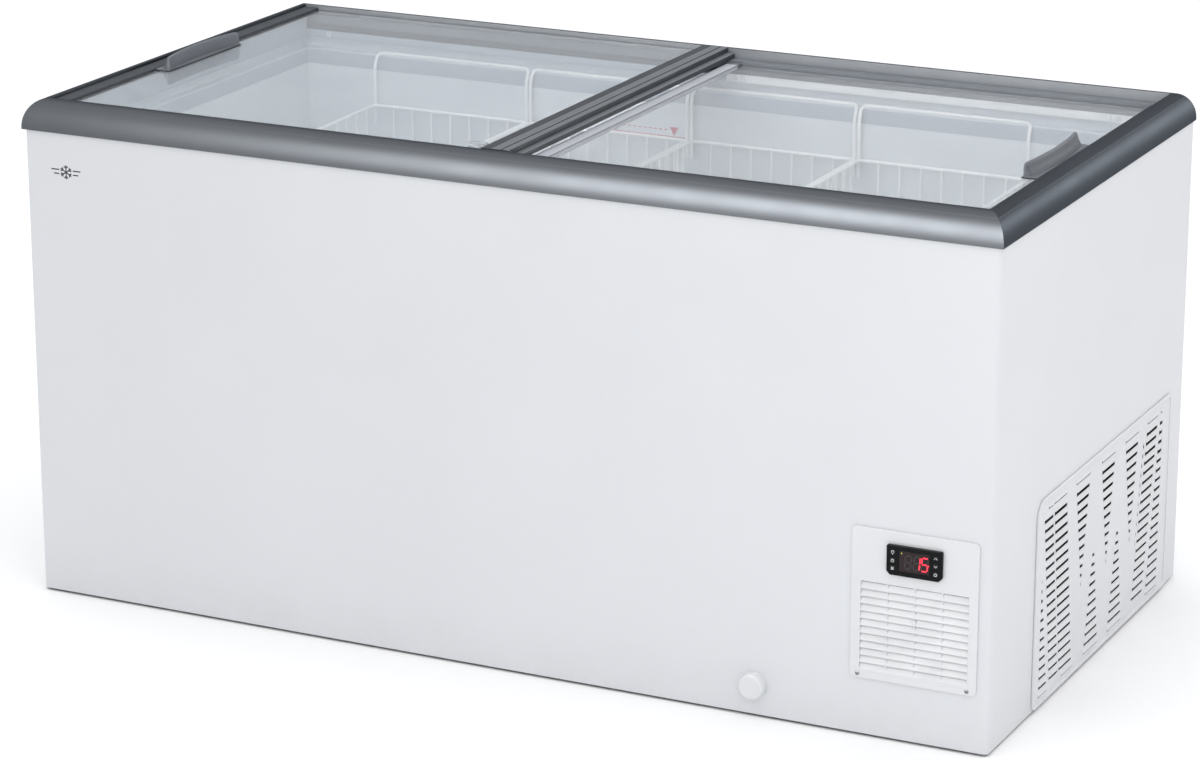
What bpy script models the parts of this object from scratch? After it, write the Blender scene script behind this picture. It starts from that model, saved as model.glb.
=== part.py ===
"""Commercial chest freezer with two sliding flat-glass lids, four hanging wire baskets and a
compressor compartment in its lower right corner.

Metres, +Z up. X runs from the left end to the right end, -Y is the front, and the origin is on the
floor under the middle of the cabinet. Every named piece of the freezer is one object.
"""

import math

import bmesh
import bpy
from mathutils import Matrix, Vector

# Overall sizes
WIDTH = 1.740
DEPTH = 0.920
RIM_TOP = 0.865
GAP = 0.0003
SHEET = 0.0012

# Cabinet
RIM_OVERHANG = 0.004
CASE_X = WIDTH / 2 - RIM_OVERHANG
CASE_Y = DEPTH / 2 - RIM_OVERHANG
CASE_FOOT = 0.004
CASE_CORNER = 0.008
TRAY_TOP = 0.0312
INSIDE_X = CASE_X - SHEET - GAP
INSIDE_Y = CASE_Y - SHEET - GAP

# Rim around the top
RIM_WIDTH = 0.036
RIM_FOOT = 0.815
RIM_SHOULDER = 0.818
RIM_CURVE = 0.034
RIM_SEAT = 0.8303
RIM_LIP = 0.0037
MITRE_TRIM = 0.00025

# Lid tracks: an upper and a lower ledge inside the rim
WELL_X = WIDTH / 2 - RIM_WIDTH - GAP
WELL_Y = DEPTH / 2 - RIM_WIDTH - GAP
UPPER_LEDGE = 0.8480
LOWER_LEDGE = 0.8330
UPPER_WALL_Y = 0.402
LOWER_WALL_Y = 0.380
TRACK_FOOT = 0.8125

# Liner and the collar between it and the tracks
LINER_X = 0.800
LINER_Y = 0.372
LINER_SHEET = 0.0015
LINER_FLOOR = 0.115
LINER_TOP = 0.7647
STEP_X = 0.530
STEP_TOP = 0.420
COLLAR_FOOT = 0.765
SHOULDER_Z = 0.794
SHOULDER_DEEP = 0.014
COLLAR_WALL = 0.003
SILL_IN_X = 0.806

# Insulation
FOAM_TOP = 0.790
FOAM_JACKET = 0.0125
COMPARTMENT_X = 0.600
COMPARTMENT_TOP = 0.360

# Lids
GLASS = 0.004
LID_BAR = 0.028
LID_HALF_UPPER = 0.4215
LID_HALF_LOWER = 0.4005
UPPER_FOOT = 0.8485
LOWER_FOOT = 0.8335
LID_END_X = 0.8335
LAP_LEFT_X = -0.027
LAP_STEP_X = 0.023
LAP_STEP_TOP = 0.8570
LAP_GROOVE_X = 0.010
LAP_RIGHT_X = 0.036
CLEAR_LAP_X = 0.0365
CLEAR_LAP_WIDE = 0.022
CLEAR_LAP_TOP = 0.8452
CLEAR_FLAP_FOOT = 0.8235
HANDLE_LONG = 0.235
HANDLE_TALL = 0.026
HANDLE_Y = -0.02

# Baskets
BASKET_COUNT = 4
BASKET_WIDE = 0.3165
BASKET_PITCH = 0.3177
BASKET_START = -0.65825
BASKET_FLOOR = 0.450
BASKET_RIM = 0.705
WIRE = 0.0025
HANGER_Y = 0.364
HANGER_BAR_Y = 0.377
HANGER_BAR_Z = 0.797

# Front vent panel and its controller
VENT_X = (0.636, 0.846)
VENT_Z = (0.098, 0.347)
VENT_THICK = 0.004
VENT_ROWS = 12
VENT_PITCH = 0.0122
VENT_TOP_ROW = 0.255
VENT_SLOTS_X = (0.652, 0.831)
VENT_COLUMNS = 4
VENT_RIB = 0.0025
CONTROL_X = 0.742
CONTROL_Z = 0.3025
CONTROL_SIZE = (0.092, 0.049)
SCREW_X = (0.649, 0.831)
SCREW_Z = 0.105

# Side vent panel
SIDE_Y = (-0.262, 0.395)
SIDE_Z = (0.006, 0.355)
SIDE_ROWS = 19
SIDE_PITCH = 0.0164
SIDE_COLUMNS = 5

# Rear cover and cord gland
REAR_COVER_X = (0.645, 0.850)
REAR_COVER_Z = (0.050, 0.340)
REAR_SLOTS_X = (0.662, 0.753)
REAR_ROWS = 10
REAR_PITCH = 0.024
GLAND_SPOT = (0.622, 0.100)

# Drain
DRAIN_X = 0.472
DRAIN_Z = 0.054
DRAIN_BEND_Y = -0.300
DRAIN_CAP_RADIUS = 0.0215
CAP_FACE_Y = -0.473

# Compressor compartment
UNIT_X = 0.745
UNIT_HALF = 0.100
UNIT_Z = (0.045, 0.265)
CONDENSER_Y = (-0.440, -0.387)
COMPRESSOR_SPOT = (0.740, 0.170)
FAN_Z = 0.155
FAN_HUB_Y = -0.369
SHAFT_RADIUS = 0.003
SHAFT_CLEARANCE = 0.00005


def clear_scene():
    for thing in list(bpy.data.objects):
        bpy.data.objects.remove(thing, do_unlink=True)


clear_scene()
PARTS = bpy.data.collections.new("chest_freezer")
CUTTERS = bpy.data.collections.new("cutters")
bpy.context.scene.collection.children.link(PARTS)
bpy.context.scene.collection.children.link(CUTTERS)


def material(name, colour, roughness, metallic=0.0, alpha=1.0):
    made = bpy.data.materials.new(name)
    made.use_nodes = True
    shader = made.node_tree.nodes["Principled BSDF"]
    shader.inputs["Base Color"].default_value = (*colour, 1.0)
    shader.inputs["Roughness"].default_value = roughness
    shader.inputs["Metallic"].default_value = metallic
    shader.inputs["Alpha"].default_value = alpha
    return made


WHITE_STEEL = material("white_steel", (0.84, 0.85, 0.87), 0.35)
GALVANISED = material("galvanised", (0.55, 0.57, 0.58), 0.45, 0.9)
WHITE_LINER = material("white_liner", (0.80, 0.82, 0.84), 0.45)
FOAM = material("foam", (0.85, 0.78, 0.55), 0.9)
RIM_METAL = material("rim_metal", (0.30, 0.32, 0.34), 0.38, 0.8)
TRACK_GREY = material("track_grey", (0.33, 0.35, 0.38), 0.5)
COLLAR_GREY = material("collar_grey", (0.55, 0.58, 0.62), 0.5)
LID_GLASS = material("lid_glass", (0.85, 0.92, 0.95), 0.05, 0.0, 0.35)
LID_GREY = material("lid_grey", (0.20, 0.21, 0.23), 0.45)
CLEAR_PLASTIC = material("clear_plastic", (0.85, 0.87, 0.90), 0.15, 0.0, 0.45)
WHITE_PLASTIC = material("white_plastic", (0.86, 0.87, 0.88), 0.4)
WHITE_WIRE = material("white_wire", (0.86, 0.88, 0.90), 0.4)
BLACK_PLASTIC = material("black_plastic", (0.02, 0.02, 0.022), 0.35)
DISPLAY = material("display", (0.06, 0.0, 0.0), 0.1)
DARK_SCREW = material("dark_screw", (0.08, 0.08, 0.085), 0.4, 0.9)
COPPER = material("copper", (0.72, 0.40, 0.26), 0.35, 1.0)
BLACK_METAL = material("black_metal", (0.02, 0.02, 0.02), 0.5, 0.3)
ALUMINIUM = material("aluminium", (0.68, 0.69, 0.70), 0.4, 0.9)


def place(thing, look):
    """Links a piece to the freezer's collection and gives it its material."""
    PARTS.objects.link(thing)
    thing.data.materials.clear()
    thing.data.materials.append(look)
    return thing


def hide_as_cutter(thing):
    """Keeps a cutter, or a shape that is joined into a piece, out of the freezer."""
    for holder in list(thing.users_collection):
        holder.objects.unlink(thing)
    CUTTERS.objects.link(thing)
    thing.hide_render = True
    thing.display_type = "WIRE"
    return thing


def boolean(thing, tool, operation="DIFFERENCE"):
    """Cuts a tool out of a piece, or joins it on."""
    hide_as_cutter(tool)
    step = thing.modifiers.new(operation.lower(), "BOOLEAN")
    step.operation = operation
    step.solver = "EXACT"
    step.object = tool


def cube_mesh(name, sizes):
    """One mesh of boxes, each given as its lowest and highest corner."""
    shape = bmesh.new()
    for low, high in sizes:
        low, high = Vector(low), Vector(high)
        placed = Matrix.Translation((low + high) / 2) @ Matrix.Diagonal((*(high - low), 1.0))
        bmesh.ops.create_cube(shape, size=1.0, matrix=placed)
    mesh = bpy.data.meshes.new(name)
    shape.to_mesh(mesh)
    shape.free()
    return mesh


def boxes(name, sizes):
    return bpy.data.objects.new(name, cube_mesh(name, sizes))


def box(name, low, high, bevel=0.0):
    """A box with its object at its middle, and its edges rounded if a bevel is given."""
    middle = (Vector(low) + Vector(high)) / 2
    made = boxes(name, [(Vector(low) - middle, Vector(high) - middle)])
    made.location = middle
    if bevel:
        round_edges(made, bevel)
    return made


def round_edges(thing, width, segments=2, angle=40):
    step = thing.modifiers.new("bevel", "BEVEL")
    step.width = width
    step.segments = segments
    step.limit_method = "ANGLE"
    step.angle_limit = math.radians(angle)


def smooth(thing, angle=35):
    thing.data.shade_smooth()
    thing.data.set_sharp_from_angle(angle=math.radians(angle))


def open_box(name, low, high, missing):
    """The faces of a box without those whose outward direction is in missing."""
    middle = (Vector(low) + Vector(high)) / 2
    mesh = cube_mesh(name, [(Vector(low) - middle, Vector(high) - middle)])
    shape = bmesh.new()
    shape.from_mesh(mesh)
    gone = [f for f in shape.faces if any(f.normal.dot(Vector(d)) > 0.9 for d in missing)]
    bmesh.ops.delete(shape, geom=gone, context="FACES")
    shape.to_mesh(mesh)
    shape.free()
    made = bpy.data.objects.new(name, mesh)
    made.location = middle
    return made


def thicken(thing, thickness):
    """Gives an open surface its sheet thickness on its inner side."""
    step = thing.modifiers.new("solidify", "SOLIDIFY")
    step.thickness = thickness
    step.offset = -1
    step.use_even_offset = True


def mesh_from_curve(guide):
    """A closed mesh of a curve object, which the curve's own object then makes way for."""
    PARTS.objects.link(guide)
    bpy.context.view_layer.update()
    evaluated = guide.evaluated_get(bpy.context.evaluated_depsgraph_get())
    mesh = bpy.data.meshes.new_from_object(evaluated)
    shape = bmesh.new()
    shape.from_mesh(mesh)
    bmesh.ops.remove_doubles(shape, verts=shape.verts, dist=0.00001)
    bmesh.ops.recalc_face_normals(shape, faces=shape.faces)
    shape.to_mesh(mesh)
    shape.free()
    made = bpy.data.objects.new(guide.name, mesh)
    made.matrix_world = guide.matrix_world.copy()
    name = guide.name
    bpy.data.objects.remove(guide, do_unlink=True)
    made.name = name
    mesh.name = name
    return made


def add_spline(curve, points, cyclic):
    spline = curve.splines.new("POLY")
    spline.points.add(len(points) - 1)
    for spot, point in zip(spline.points, points):
        spot.co = (*point, 0.0, 1.0) if len(point) == 2 else (*point, 1.0)
    spline.use_cyclic_u = cyclic


# How a flat outline's own x, y and z lie in the world when it is extruded along each axis
TURNED = {
    "X": Matrix(((0, 0, 1), (1, 0, 0), (0, 1, 0))).to_4x4(),
    "Y": Matrix(((1, 0, 0), (0, 0, -1), (0, 1, 0))).to_4x4(),
    "Z": Matrix.Identity(4),
}


def prism(name, outlines, axis, start, end):
    """A flat outline, with holes if more are given, extruded along an axis from start to end.

    The outlines are (y, z) points for X, (x, z) for Y and (x, y) for Z.
    """
    curve = bpy.data.curves.new(name, "CURVE")
    curve.dimensions = "2D"
    curve.fill_mode = "BOTH"
    curve.extrude = abs(end - start) / 2
    for outline in outlines:
        add_spline(curve, outline, True)
    guide = bpy.data.objects.new(name, curve)
    along = {"X": (1, 0, 0), "Y": (0, 1, 0), "Z": (0, 0, 1)}[axis]
    guide.matrix_world = Matrix.Translation(Vector(along) * (start + end) / 2) @ TURNED[axis]
    return mesh_from_curve(guide)


def rectangle(low, high):
    return [(low[0], low[1]), (high[0], low[1]), (high[0], high[1]), (low[0], high[1])]


def rounded(low, high, radii, steps=4):
    """A rectangle's outline with a radius for each corner, from the lower left round to the left."""
    points = []
    for turn, (corner, radius) in enumerate(zip(rectangle(low, high), radii)):
        inward = [(1, 1), (-1, 1), (-1, -1), (1, -1)][turn]
        centre = (corner[0] + inward[0] * radius, corner[1] + inward[1] * radius)
        for step in range(steps + 1):
            angle = math.pi + turn * math.pi / 2 + step / steps * math.pi / 2
            spot = (centre[0] + radius * math.cos(angle), centre[1] + radius * math.sin(angle))
            points.append(spot)
    return points


def circle(centre, radius, sides=24):
    angles = [2 * math.pi * (side + 0.5) / sides for side in range(sides)]
    return [(centre[0] + radius * math.cos(a), centre[1] + radius * math.sin(a)) for a in angles]


def turned(name, profile, where, direction, steps=24):
    """A profile of (radius, height) points turned about its height, which points in a direction."""
    shape = bmesh.new()
    spots = [shape.verts.new((radius, 0.0, height)) for radius, height in profile]
    for first, second in zip(spots, spots[1:]):
        shape.edges.new((first, second))
    mesh = bpy.data.meshes.new(name)
    shape.to_mesh(mesh)
    shape.free()
    made = bpy.data.objects.new(name, mesh)
    step = made.modifiers.new("screw", "SCREW")
    step.axis = "Z"
    step.steps = steps
    step.render_steps = steps
    step.use_merge_vertices = True
    step.merge_threshold = 0.00005
    step.use_smooth_shade = True
    upright = Vector(direction).to_track_quat("Z", "Y").to_matrix().to_4x4()
    made.matrix_world = Matrix.Translation(where) @ upright
    return made


def rod(name, points, radius, smooth_route=True):
    """A solid rod or pipe through points, curved between them unless it is a polyline."""
    curve = bpy.data.curves.new(name, "CURVE")
    curve.dimensions = "3D"
    curve.bevel_depth = radius
    curve.bevel_resolution = 2
    curve.use_fill_caps = True
    if smooth_route:
        curve.resolution_u = 4
        spline = curve.splines.new("BEZIER")
        spline.bezier_points.add(len(points) - 1)
        for spot, point in zip(spline.bezier_points, points):
            spot.co = point
            spot.handle_left_type = "AUTO"
            spot.handle_right_type = "AUTO"
    else:
        add_spline(curve, points, False)
    made = mesh_from_curve(bpy.data.objects.new(name, curve))
    smooth(made)
    return made


def mitred_bar(name, profile, half_length, offset, quarter_turns):
    """One side of a mitred frame: (inward, z) points swept along its side, cut at 45 degrees.

    offset is the distance from the middle to the frame's outer face, and half_length half the
    length of that face. No quarter turns is the front, then right, rear and left.
    """
    shape = bmesh.new()
    start = [
        shape.verts.new((inward + MITRE_TRIM - half_length, inward - offset, height))
        for inward, height in profile
    ]
    face = shape.faces.new(start)
    grown = bmesh.ops.extrude_face_region(shape, geom=[face])
    for vert in grown["geom"]:
        if isinstance(vert, bmesh.types.BMVert):
            vert.co.x = -vert.co.x
    bmesh.ops.recalc_face_normals(shape, faces=shape.faces)
    mesh = bpy.data.meshes.new(name)
    shape.to_mesh(mesh)
    shape.free()
    made = bpy.data.objects.new(name, mesh)
    made.rotation_euler.z = quarter_turns * math.pi / 2
    smooth(made)
    return made


SIDES = {
    "front": (0, WIDTH / 2, DEPTH / 2),
    "right": (1, DEPTH / 2, WIDTH / 2),
    "rear": (2, WIDTH / 2, DEPTH / 2),
    "left": (3, DEPTH / 2, WIDTH / 2),
}


def case_outline(back):
    """The cabinet's inner plan, with room for the wrap's rounded front corners."""
    return rounded((-INSIDE_X, -INSIDE_Y), (INSIDE_X, back), (0.008, 0.008, 0.001, 0.001))


def vent_slots():
    """The front panel's louvre slots, as (low, high) corners in x and z."""
    span = VENT_SLOTS_X[1] - VENT_SLOTS_X[0]
    wide = (span - (VENT_COLUMNS - 1) * VENT_RIB) / VENT_COLUMNS
    high = 0.0045
    slots = []
    for row in range(VENT_ROWS):
        top = VENT_TOP_ROW - row * VENT_PITCH
        for column in range(VENT_COLUMNS):
            left = VENT_SLOTS_X[0] + column * (wide + VENT_RIB)
            slots.append(((left, top - high), (left + wide, top)))
    return slots


def side_slots():
    """The side panel's slots, as (low, high) corners in y and z."""
    first, last = SIDE_Y[0] + 0.020, SIDE_Y[1] - 0.020
    bar = 0.010
    long = (last - first - (SIDE_COLUMNS - 1) * bar) / SIDE_COLUMNS
    high = 0.006
    slots = []
    for row in range(SIDE_ROWS):
        low = SIDE_Z[0] + 0.024 + row * SIDE_PITCH
        for column in range(SIDE_COLUMNS):
            start = first + column * (long + bar)
            slots.append(((start, low), (start + long, low + high)))
    return slots


def make_wrap():
    """Front and both sides, bent from one sheet, with its vent, controller and drain openings."""
    low = (-CASE_X, -CASE_Y, CASE_FOOT)
    high = (CASE_X, CASE_Y, RIM_SEAT - GAP)
    wrap = open_box("outer_wrap", low, high, [(0, 1, 0), (0, 0, 1), (0, 0, -1)])
    round_edges(wrap, CASE_CORNER, segments=3)
    thicken(wrap, SHEET)
    place(wrap, WHITE_STEEL)
    front, right = -CASE_Y, CASE_X
    margin = 0.004
    grille_low = VENT_TOP_ROW - VENT_ROWS * VENT_PITCH
    openings = [
        ((VENT_SLOTS_X[0] - margin, front - 0.01, grille_low - margin),
         (VENT_SLOTS_X[1] + margin, front + 0.01, VENT_TOP_ROW + margin)),
        ((CONTROL_X - 0.043, front - 0.01, CONTROL_Z - 0.022),
         (CONTROL_X + 0.043, front + 0.01, CONTROL_Z + 0.022)),
        ((right - 0.01, SIDE_Y[0] + 0.015, SIDE_Z[0] + 0.028),
         (right + 0.01, SIDE_Y[1] - 0.015, SIDE_Z[1] - 0.010)),
    ]
    boolean(wrap, boxes("wrap_openings", openings))
    hole = [circle((DRAIN_X, DRAIN_Z), 0.008)]
    boolean(wrap, prism("drain_hole", hole, "Y", front - 0.01, front + 0.01))


def make_back_and_base():
    """Rear sheet, its ventilated cover, the cord gland, the base tray and the two skids."""
    rear = box("rear_panel", (-INSIDE_X, CASE_Y - SHEET, TRAY_TOP + GAP),
               (INSIDE_X, CASE_Y, RIM_SEAT - GAP))
    place(rear, WHITE_STEEL)
    ends = (CASE_Y - 0.02, CASE_Y + 0.02)
    opening_low = (REAR_COVER_X[0] + 0.015, ends[0], REAR_COVER_Z[0] + 0.02)
    opening_high = (REAR_COVER_X[1] - 0.020, ends[1], REAR_COVER_Z[1] - 0.02)
    boolean(rear, box("rear_opening", opening_low, opening_high))
    boolean(rear, prism("gland_hole", [circle(GLAND_SPOT, 0.008)], "Y", *ends))

    face = -CAP_FACE_Y
    cover_low = (REAR_COVER_X[0], CASE_Y + GAP, REAR_COVER_Z[0])
    cover_high = (REAR_COVER_X[1], face, REAR_COVER_Z[1])
    cover = open_box("rear_cover", cover_low, cover_high, [(0, -1, 0)])
    round_edges(cover, 0.004)
    thicken(cover, SHEET)
    place(cover, WHITE_STEEL)
    slots = []
    for row in range(REAR_ROWS):
        foot = REAR_COVER_Z[0] + 0.025 + row * REAR_PITCH
        for left in REAR_SLOTS_X:
            slots.append(((left, face - 0.005, foot), (left + 0.080, face + 0.005, foot + 0.008)))
    boolean(cover, boxes("rear_slots", slots))

    bore, flange, nose = 0.004, 0.016, 0.009
    inner, seat, step, tip = -0.012, 0.0003, 0.0033, 0.0135
    profile = [
        (bore, tip), (nose, tip), (nose, step), (flange, step), (flange, seat),
        (0.0075, seat), (0.0075, inner), (bore, inner), (bore, tip),
    ]
    gland = turned("cord_gland", profile, (GLAND_SPOT[0], CASE_Y, GLAND_SPOT[1]), (0, 1, 0), 20)
    place(gland, BLACK_PLASTIC)

    tray = prism("base_plate", [case_outline(CASE_Y)], "Z", TRAY_TOP - 0.0015, TRAY_TOP)
    place(tray, GALVANISED)
    for side, x in (("left", -0.70), ("right", 0.70)):
        top = TRAY_TOP - 0.0015 - GAP
        skid = box(f"skid_{side}", (x - 0.025, -0.40, 0.0), (x + 0.025, 0.40, top), bevel=0.003)
        place(skid, BLACK_PLASTIC)


def make_liner():
    """Inner tank: four walls, the floor and the step over the compressor compartment."""
    low, sheet = LINER_FLOOR, LINER_SHEET
    out_x, out_y = LINER_X + sheet, LINER_Y + sheet
    long_wall = [
        (-out_x, low + GAP), (STEP_X + sheet, low + GAP), (STEP_X + sheet, STEP_TOP - sheet),
        (out_x, STEP_TOP - sheet), (out_x, LINER_TOP), (-out_x, LINER_TOP),
    ]
    for side, y in (("front", -out_y), ("rear", LINER_Y)):
        place(prism(f"liner_{side}", [long_wall], "Y", y, y + sheet), WHITE_LINER)
    within = LINER_Y - GAP
    left = box("liner_left", (-out_x, -within, low + GAP), (-LINER_X, within, LINER_TOP))
    right = box("liner_right", (LINER_X, -within, STEP_TOP + GAP), (out_x, within, LINER_TOP))
    floor = box("liner_floor", (-out_x, -out_y, low - sheet), (STEP_X, out_y, low))
    step_outline = [
        (STEP_X, low + GAP), (STEP_X + sheet, low + GAP), (STEP_X + sheet, STEP_TOP - sheet),
        (out_x, STEP_TOP - sheet), (out_x, STEP_TOP), (STEP_X, STEP_TOP),
    ]
    step = prism("liner_step", [step_outline], "Y", -within, within)
    for wall in (left, right, floor, step):
        place(wall, WHITE_LINER)
    drain = prism("floor_drain", [circle((DRAIN_X, DRAIN_BEND_Y), 0.0070)], "Z", low - 0.01, low + 0.01)
    boolean(floor, drain)


def make_insulation():
    """Foam between the tank and the cabinet, the evaporator tube in it, and the drain pipe."""
    foam = prism("foam_insulation", [case_outline(INSIDE_Y)], "Z", TRAY_TOP + GAP, FOAM_TOP)
    place(foam, FOAM)
    cavity_x, cavity_y = LINER_X + FOAM_JACKET, LINER_Y + FOAM_JACKET
    under = LINER_FLOOR - LINER_SHEET - GAP
    step_x = STEP_X + LINER_SHEET + GAP
    step_z = STEP_TOP - LINER_SHEET - GAP
    tank = [
        (-cavity_x, under), (step_x, under), (step_x, step_z), (cavity_x, step_z),
        (cavity_x, FOAM_TOP + 0.02), (-cavity_x, FOAM_TOP + 0.02),
    ]
    boolean(foam, prism("tank_space", [tank], "Y", -cavity_y, cavity_y))
    space = box("unit_space", (COMPARTMENT_X, -0.5, 0.0), (0.9, 0.5, COMPARTMENT_TOP))
    boolean(foam, space)
    reach = 0.012
    channel_low = (DRAIN_X - reach, -0.5, DRAIN_Z - reach)
    channel_high = (DRAIN_X + reach, DRAIN_BEND_Y + 0.014, 0.13)
    boolean(foam, box("drain_space", channel_low, channel_high))

    turns, coil_low, pitch, bend = 5, 0.470, 0.055, 0.0065
    x, y = LINER_X + LINER_SHEET + bend, LINER_Y + LINER_SHEET + bend
    ring = rounded((-x, -y), (x, y), (bend,) * 4, steps=3)
    count = len(ring)
    route = [
        (*ring[index % count], coil_low + pitch * index / count) for index in range(turns * count + 1)
    ]
    place(rod("evaporator_coil", route, 0.004, smooth_route=False), COPPER)

    radius = 0.009
    bend_radius = 0.020
    elbow = [
        (DRAIN_BEND_Y - bend_radius + bend_radius * math.sin(a), DRAIN_Z + bend_radius * (1 - math.cos(a)))
        for a in (math.pi / 2 * step / 4 for step in range(5))
    ]
    route = [(-0.4545, DRAIN_Z), *elbow, (DRAIN_BEND_Y, LINER_FLOOR - LINER_SHEET - GAP)]
    curve = bpy.data.curves.new("drain_spout", "CURVE")
    curve.dimensions = "3D"
    curve.bevel_depth = radius
    curve.bevel_resolution = 4
    add_spline(curve, [(DRAIN_X, y, z) for y, z in route], False)
    spout = mesh_from_curve(bpy.data.objects.new("drain_spout", curve))
    thicken(spout, 0.0013)
    smooth(spout)
    place(spout, WHITE_PLASTIC)


def make_rim_and_tracks():
    """Mitred rim, the stepped lid tracks, and the collar that the baskets hang on."""
    arc = [
        (RIM_CURVE * (1 - math.cos(a)), RIM_SHOULDER + (RIM_TOP - RIM_SHOULDER) * math.sin(a))
        for a in (math.pi / 2 * step / 12 for step in range(13))
    ]
    rim = [
        (0.0, RIM_FOOT), *arc, (RIM_WIDTH, RIM_TOP), (RIM_WIDTH, RIM_SEAT),
        (RIM_LIP, RIM_SEAT), (RIM_LIP, RIM_FOOT),
    ]
    for side, (turns, half_length, offset) in SIDES.items():
        place(mitred_bar(f"rim_{side}", rim, half_length, offset, turns), RIM_METAL)

    for side, sign in (("front", -1), ("rear", 1)):
        outline = [
            (sign * WELL_Y, TRACK_FOOT), (sign * WELL_Y, UPPER_LEDGE),
            (sign * UPPER_WALL_Y, UPPER_LEDGE), (sign * UPPER_WALL_Y, LOWER_LEDGE),
            (sign * LOWER_WALL_Y, LOWER_LEDGE), (sign * LOWER_WALL_Y, TRACK_FOOT),
        ]
        place(prism(f"track_{side}", [outline], "X", -WELL_X, WELL_X), TRACK_GREY)

    deep = SHOULDER_DEEP + COLLAR_WALL
    top = TRACK_FOOT - GAP
    chamfer = 0.003
    collar = [
        (deep, COLLAR_FOOT), (deep, SHOULDER_Z - chamfer), (deep - chamfer, SHOULDER_Z),
        (COLLAR_WALL, SHOULDER_Z), (COLLAR_WALL, top), (0.0, top),
        (0.0, SHOULDER_Z - COLLAR_WALL), (SHOULDER_DEEP, SHOULDER_Z - COLLAR_WALL - chamfer),
        (SHOULDER_DEEP, COLLAR_FOOT),
    ]
    sill_tops = {"left": UPPER_FOOT - 0.001, "right": LOWER_FOOT - 0.001}
    outer = {"front": (LINER_X + deep, LINER_Y + deep), "right": (LINER_Y + deep, LINER_X + deep)}
    outer["rear"], outer["left"] = outer["front"], outer["right"]
    for side, (turns, _, _) in SIDES.items():
        bar = mitred_bar(f"collar_{side}", collar, *outer[side], turns)
        place(bar, COLLAR_GREY)
        if side in sill_tops:
            sign = -1 if side == "left" else 1
            ends = sorted((sign * SILL_IN_X, sign * WELL_X))
            reach = LOWER_WALL_Y - GAP
            low, high = (ends[0], -reach, top - 0.0015), (ends[1], reach, sill_tops[side])
            boolean(bar, boxes(f"sill_{side}", [(low, high)]), "UNION")


def channel(foot, slot_side):
    """A lid's end channel as (x, z) points; the glass goes in on its slot side, +1 or -1."""
    lip, wall, slot = 0.0032, 0.003, GLASS + 2 * GAP
    top = foot + lip + slot + 0.0045
    outside, mouth = -LID_END_X * slot_side, (-LID_END_X + LID_BAR) * slot_side
    back = (-LID_END_X + wall) * slot_side
    points = [
        (outside, foot), (mouth, foot), (mouth, foot + lip), (back, foot + lip),
        (back, foot + lip + slot), (mouth, foot + lip + slot), (mouth, top), (outside, top),
    ]
    return points


def make_handle(name, side, glass_top, parent):
    """A bowed fin on a flat flange; side is +1 on the right lid and -1 on the left one."""
    flange_x = (0.7780 * side, 0.8050 * side)
    seat = glass_top + GAP
    half = HANDLE_LONG / 2
    flange_outline = rounded(
        (min(flange_x), HANDLE_Y - half - 0.004), (max(flange_x), HANDLE_Y + half + 0.004),
        (0.002,) * 4, steps=2,
    )
    handle = prism(name, [flange_outline], "Z", seat, seat + 0.0025)
    thick, bow = 0.008, 0.011
    fin_x = 0.7845 * side
    steps = 12

    def bowed(offset):
        spots = [-1 + 2 * step / steps for step in range(steps + 1)]
        return [(fin_x + side * (bow * (1 - t * t) + offset), HANDLE_Y + half * t) for t in spots]

    outline = bowed(-thick / 2) + bowed(thick / 2)[::-1]
    fin = prism(f"{name}_fin", [outline], "Z", seat + 0.001, seat + HANDLE_TALL)
    limits = rounded(
        (HANDLE_Y - half, seat - 0.01), (HANDLE_Y + half, seat + HANDLE_TALL),
        (0.001, 0.001, 0.012, 0.012), steps=4,
    )
    ends = sorted((0.75 * side, 0.83 * side))
    boolean(fin, prism(f"{name}_limits", [limits], "X", *ends), "INTERSECT")
    place(handle, LID_GREY)
    boolean(handle, fin, "UNION")
    smooth(handle)
    handle.parent = parent
    handle.matrix_parent_inverse = parent.matrix_world.inverted()


def slide_empty(name, where):
    """The moving frame that a lid's pieces are parented to."""
    frame = bpy.data.objects.new(name, None)
    frame.empty_display_size = 0.05
    frame.matrix_world = Matrix.Translation(where)
    PARTS.objects.link(frame)
    bpy.context.view_layer.update()
    return frame


def ride(piece, look, frame):
    place(piece, look)
    piece.parent = frame
    piece.matrix_parent_inverse = frame.matrix_world.inverted()


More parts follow.
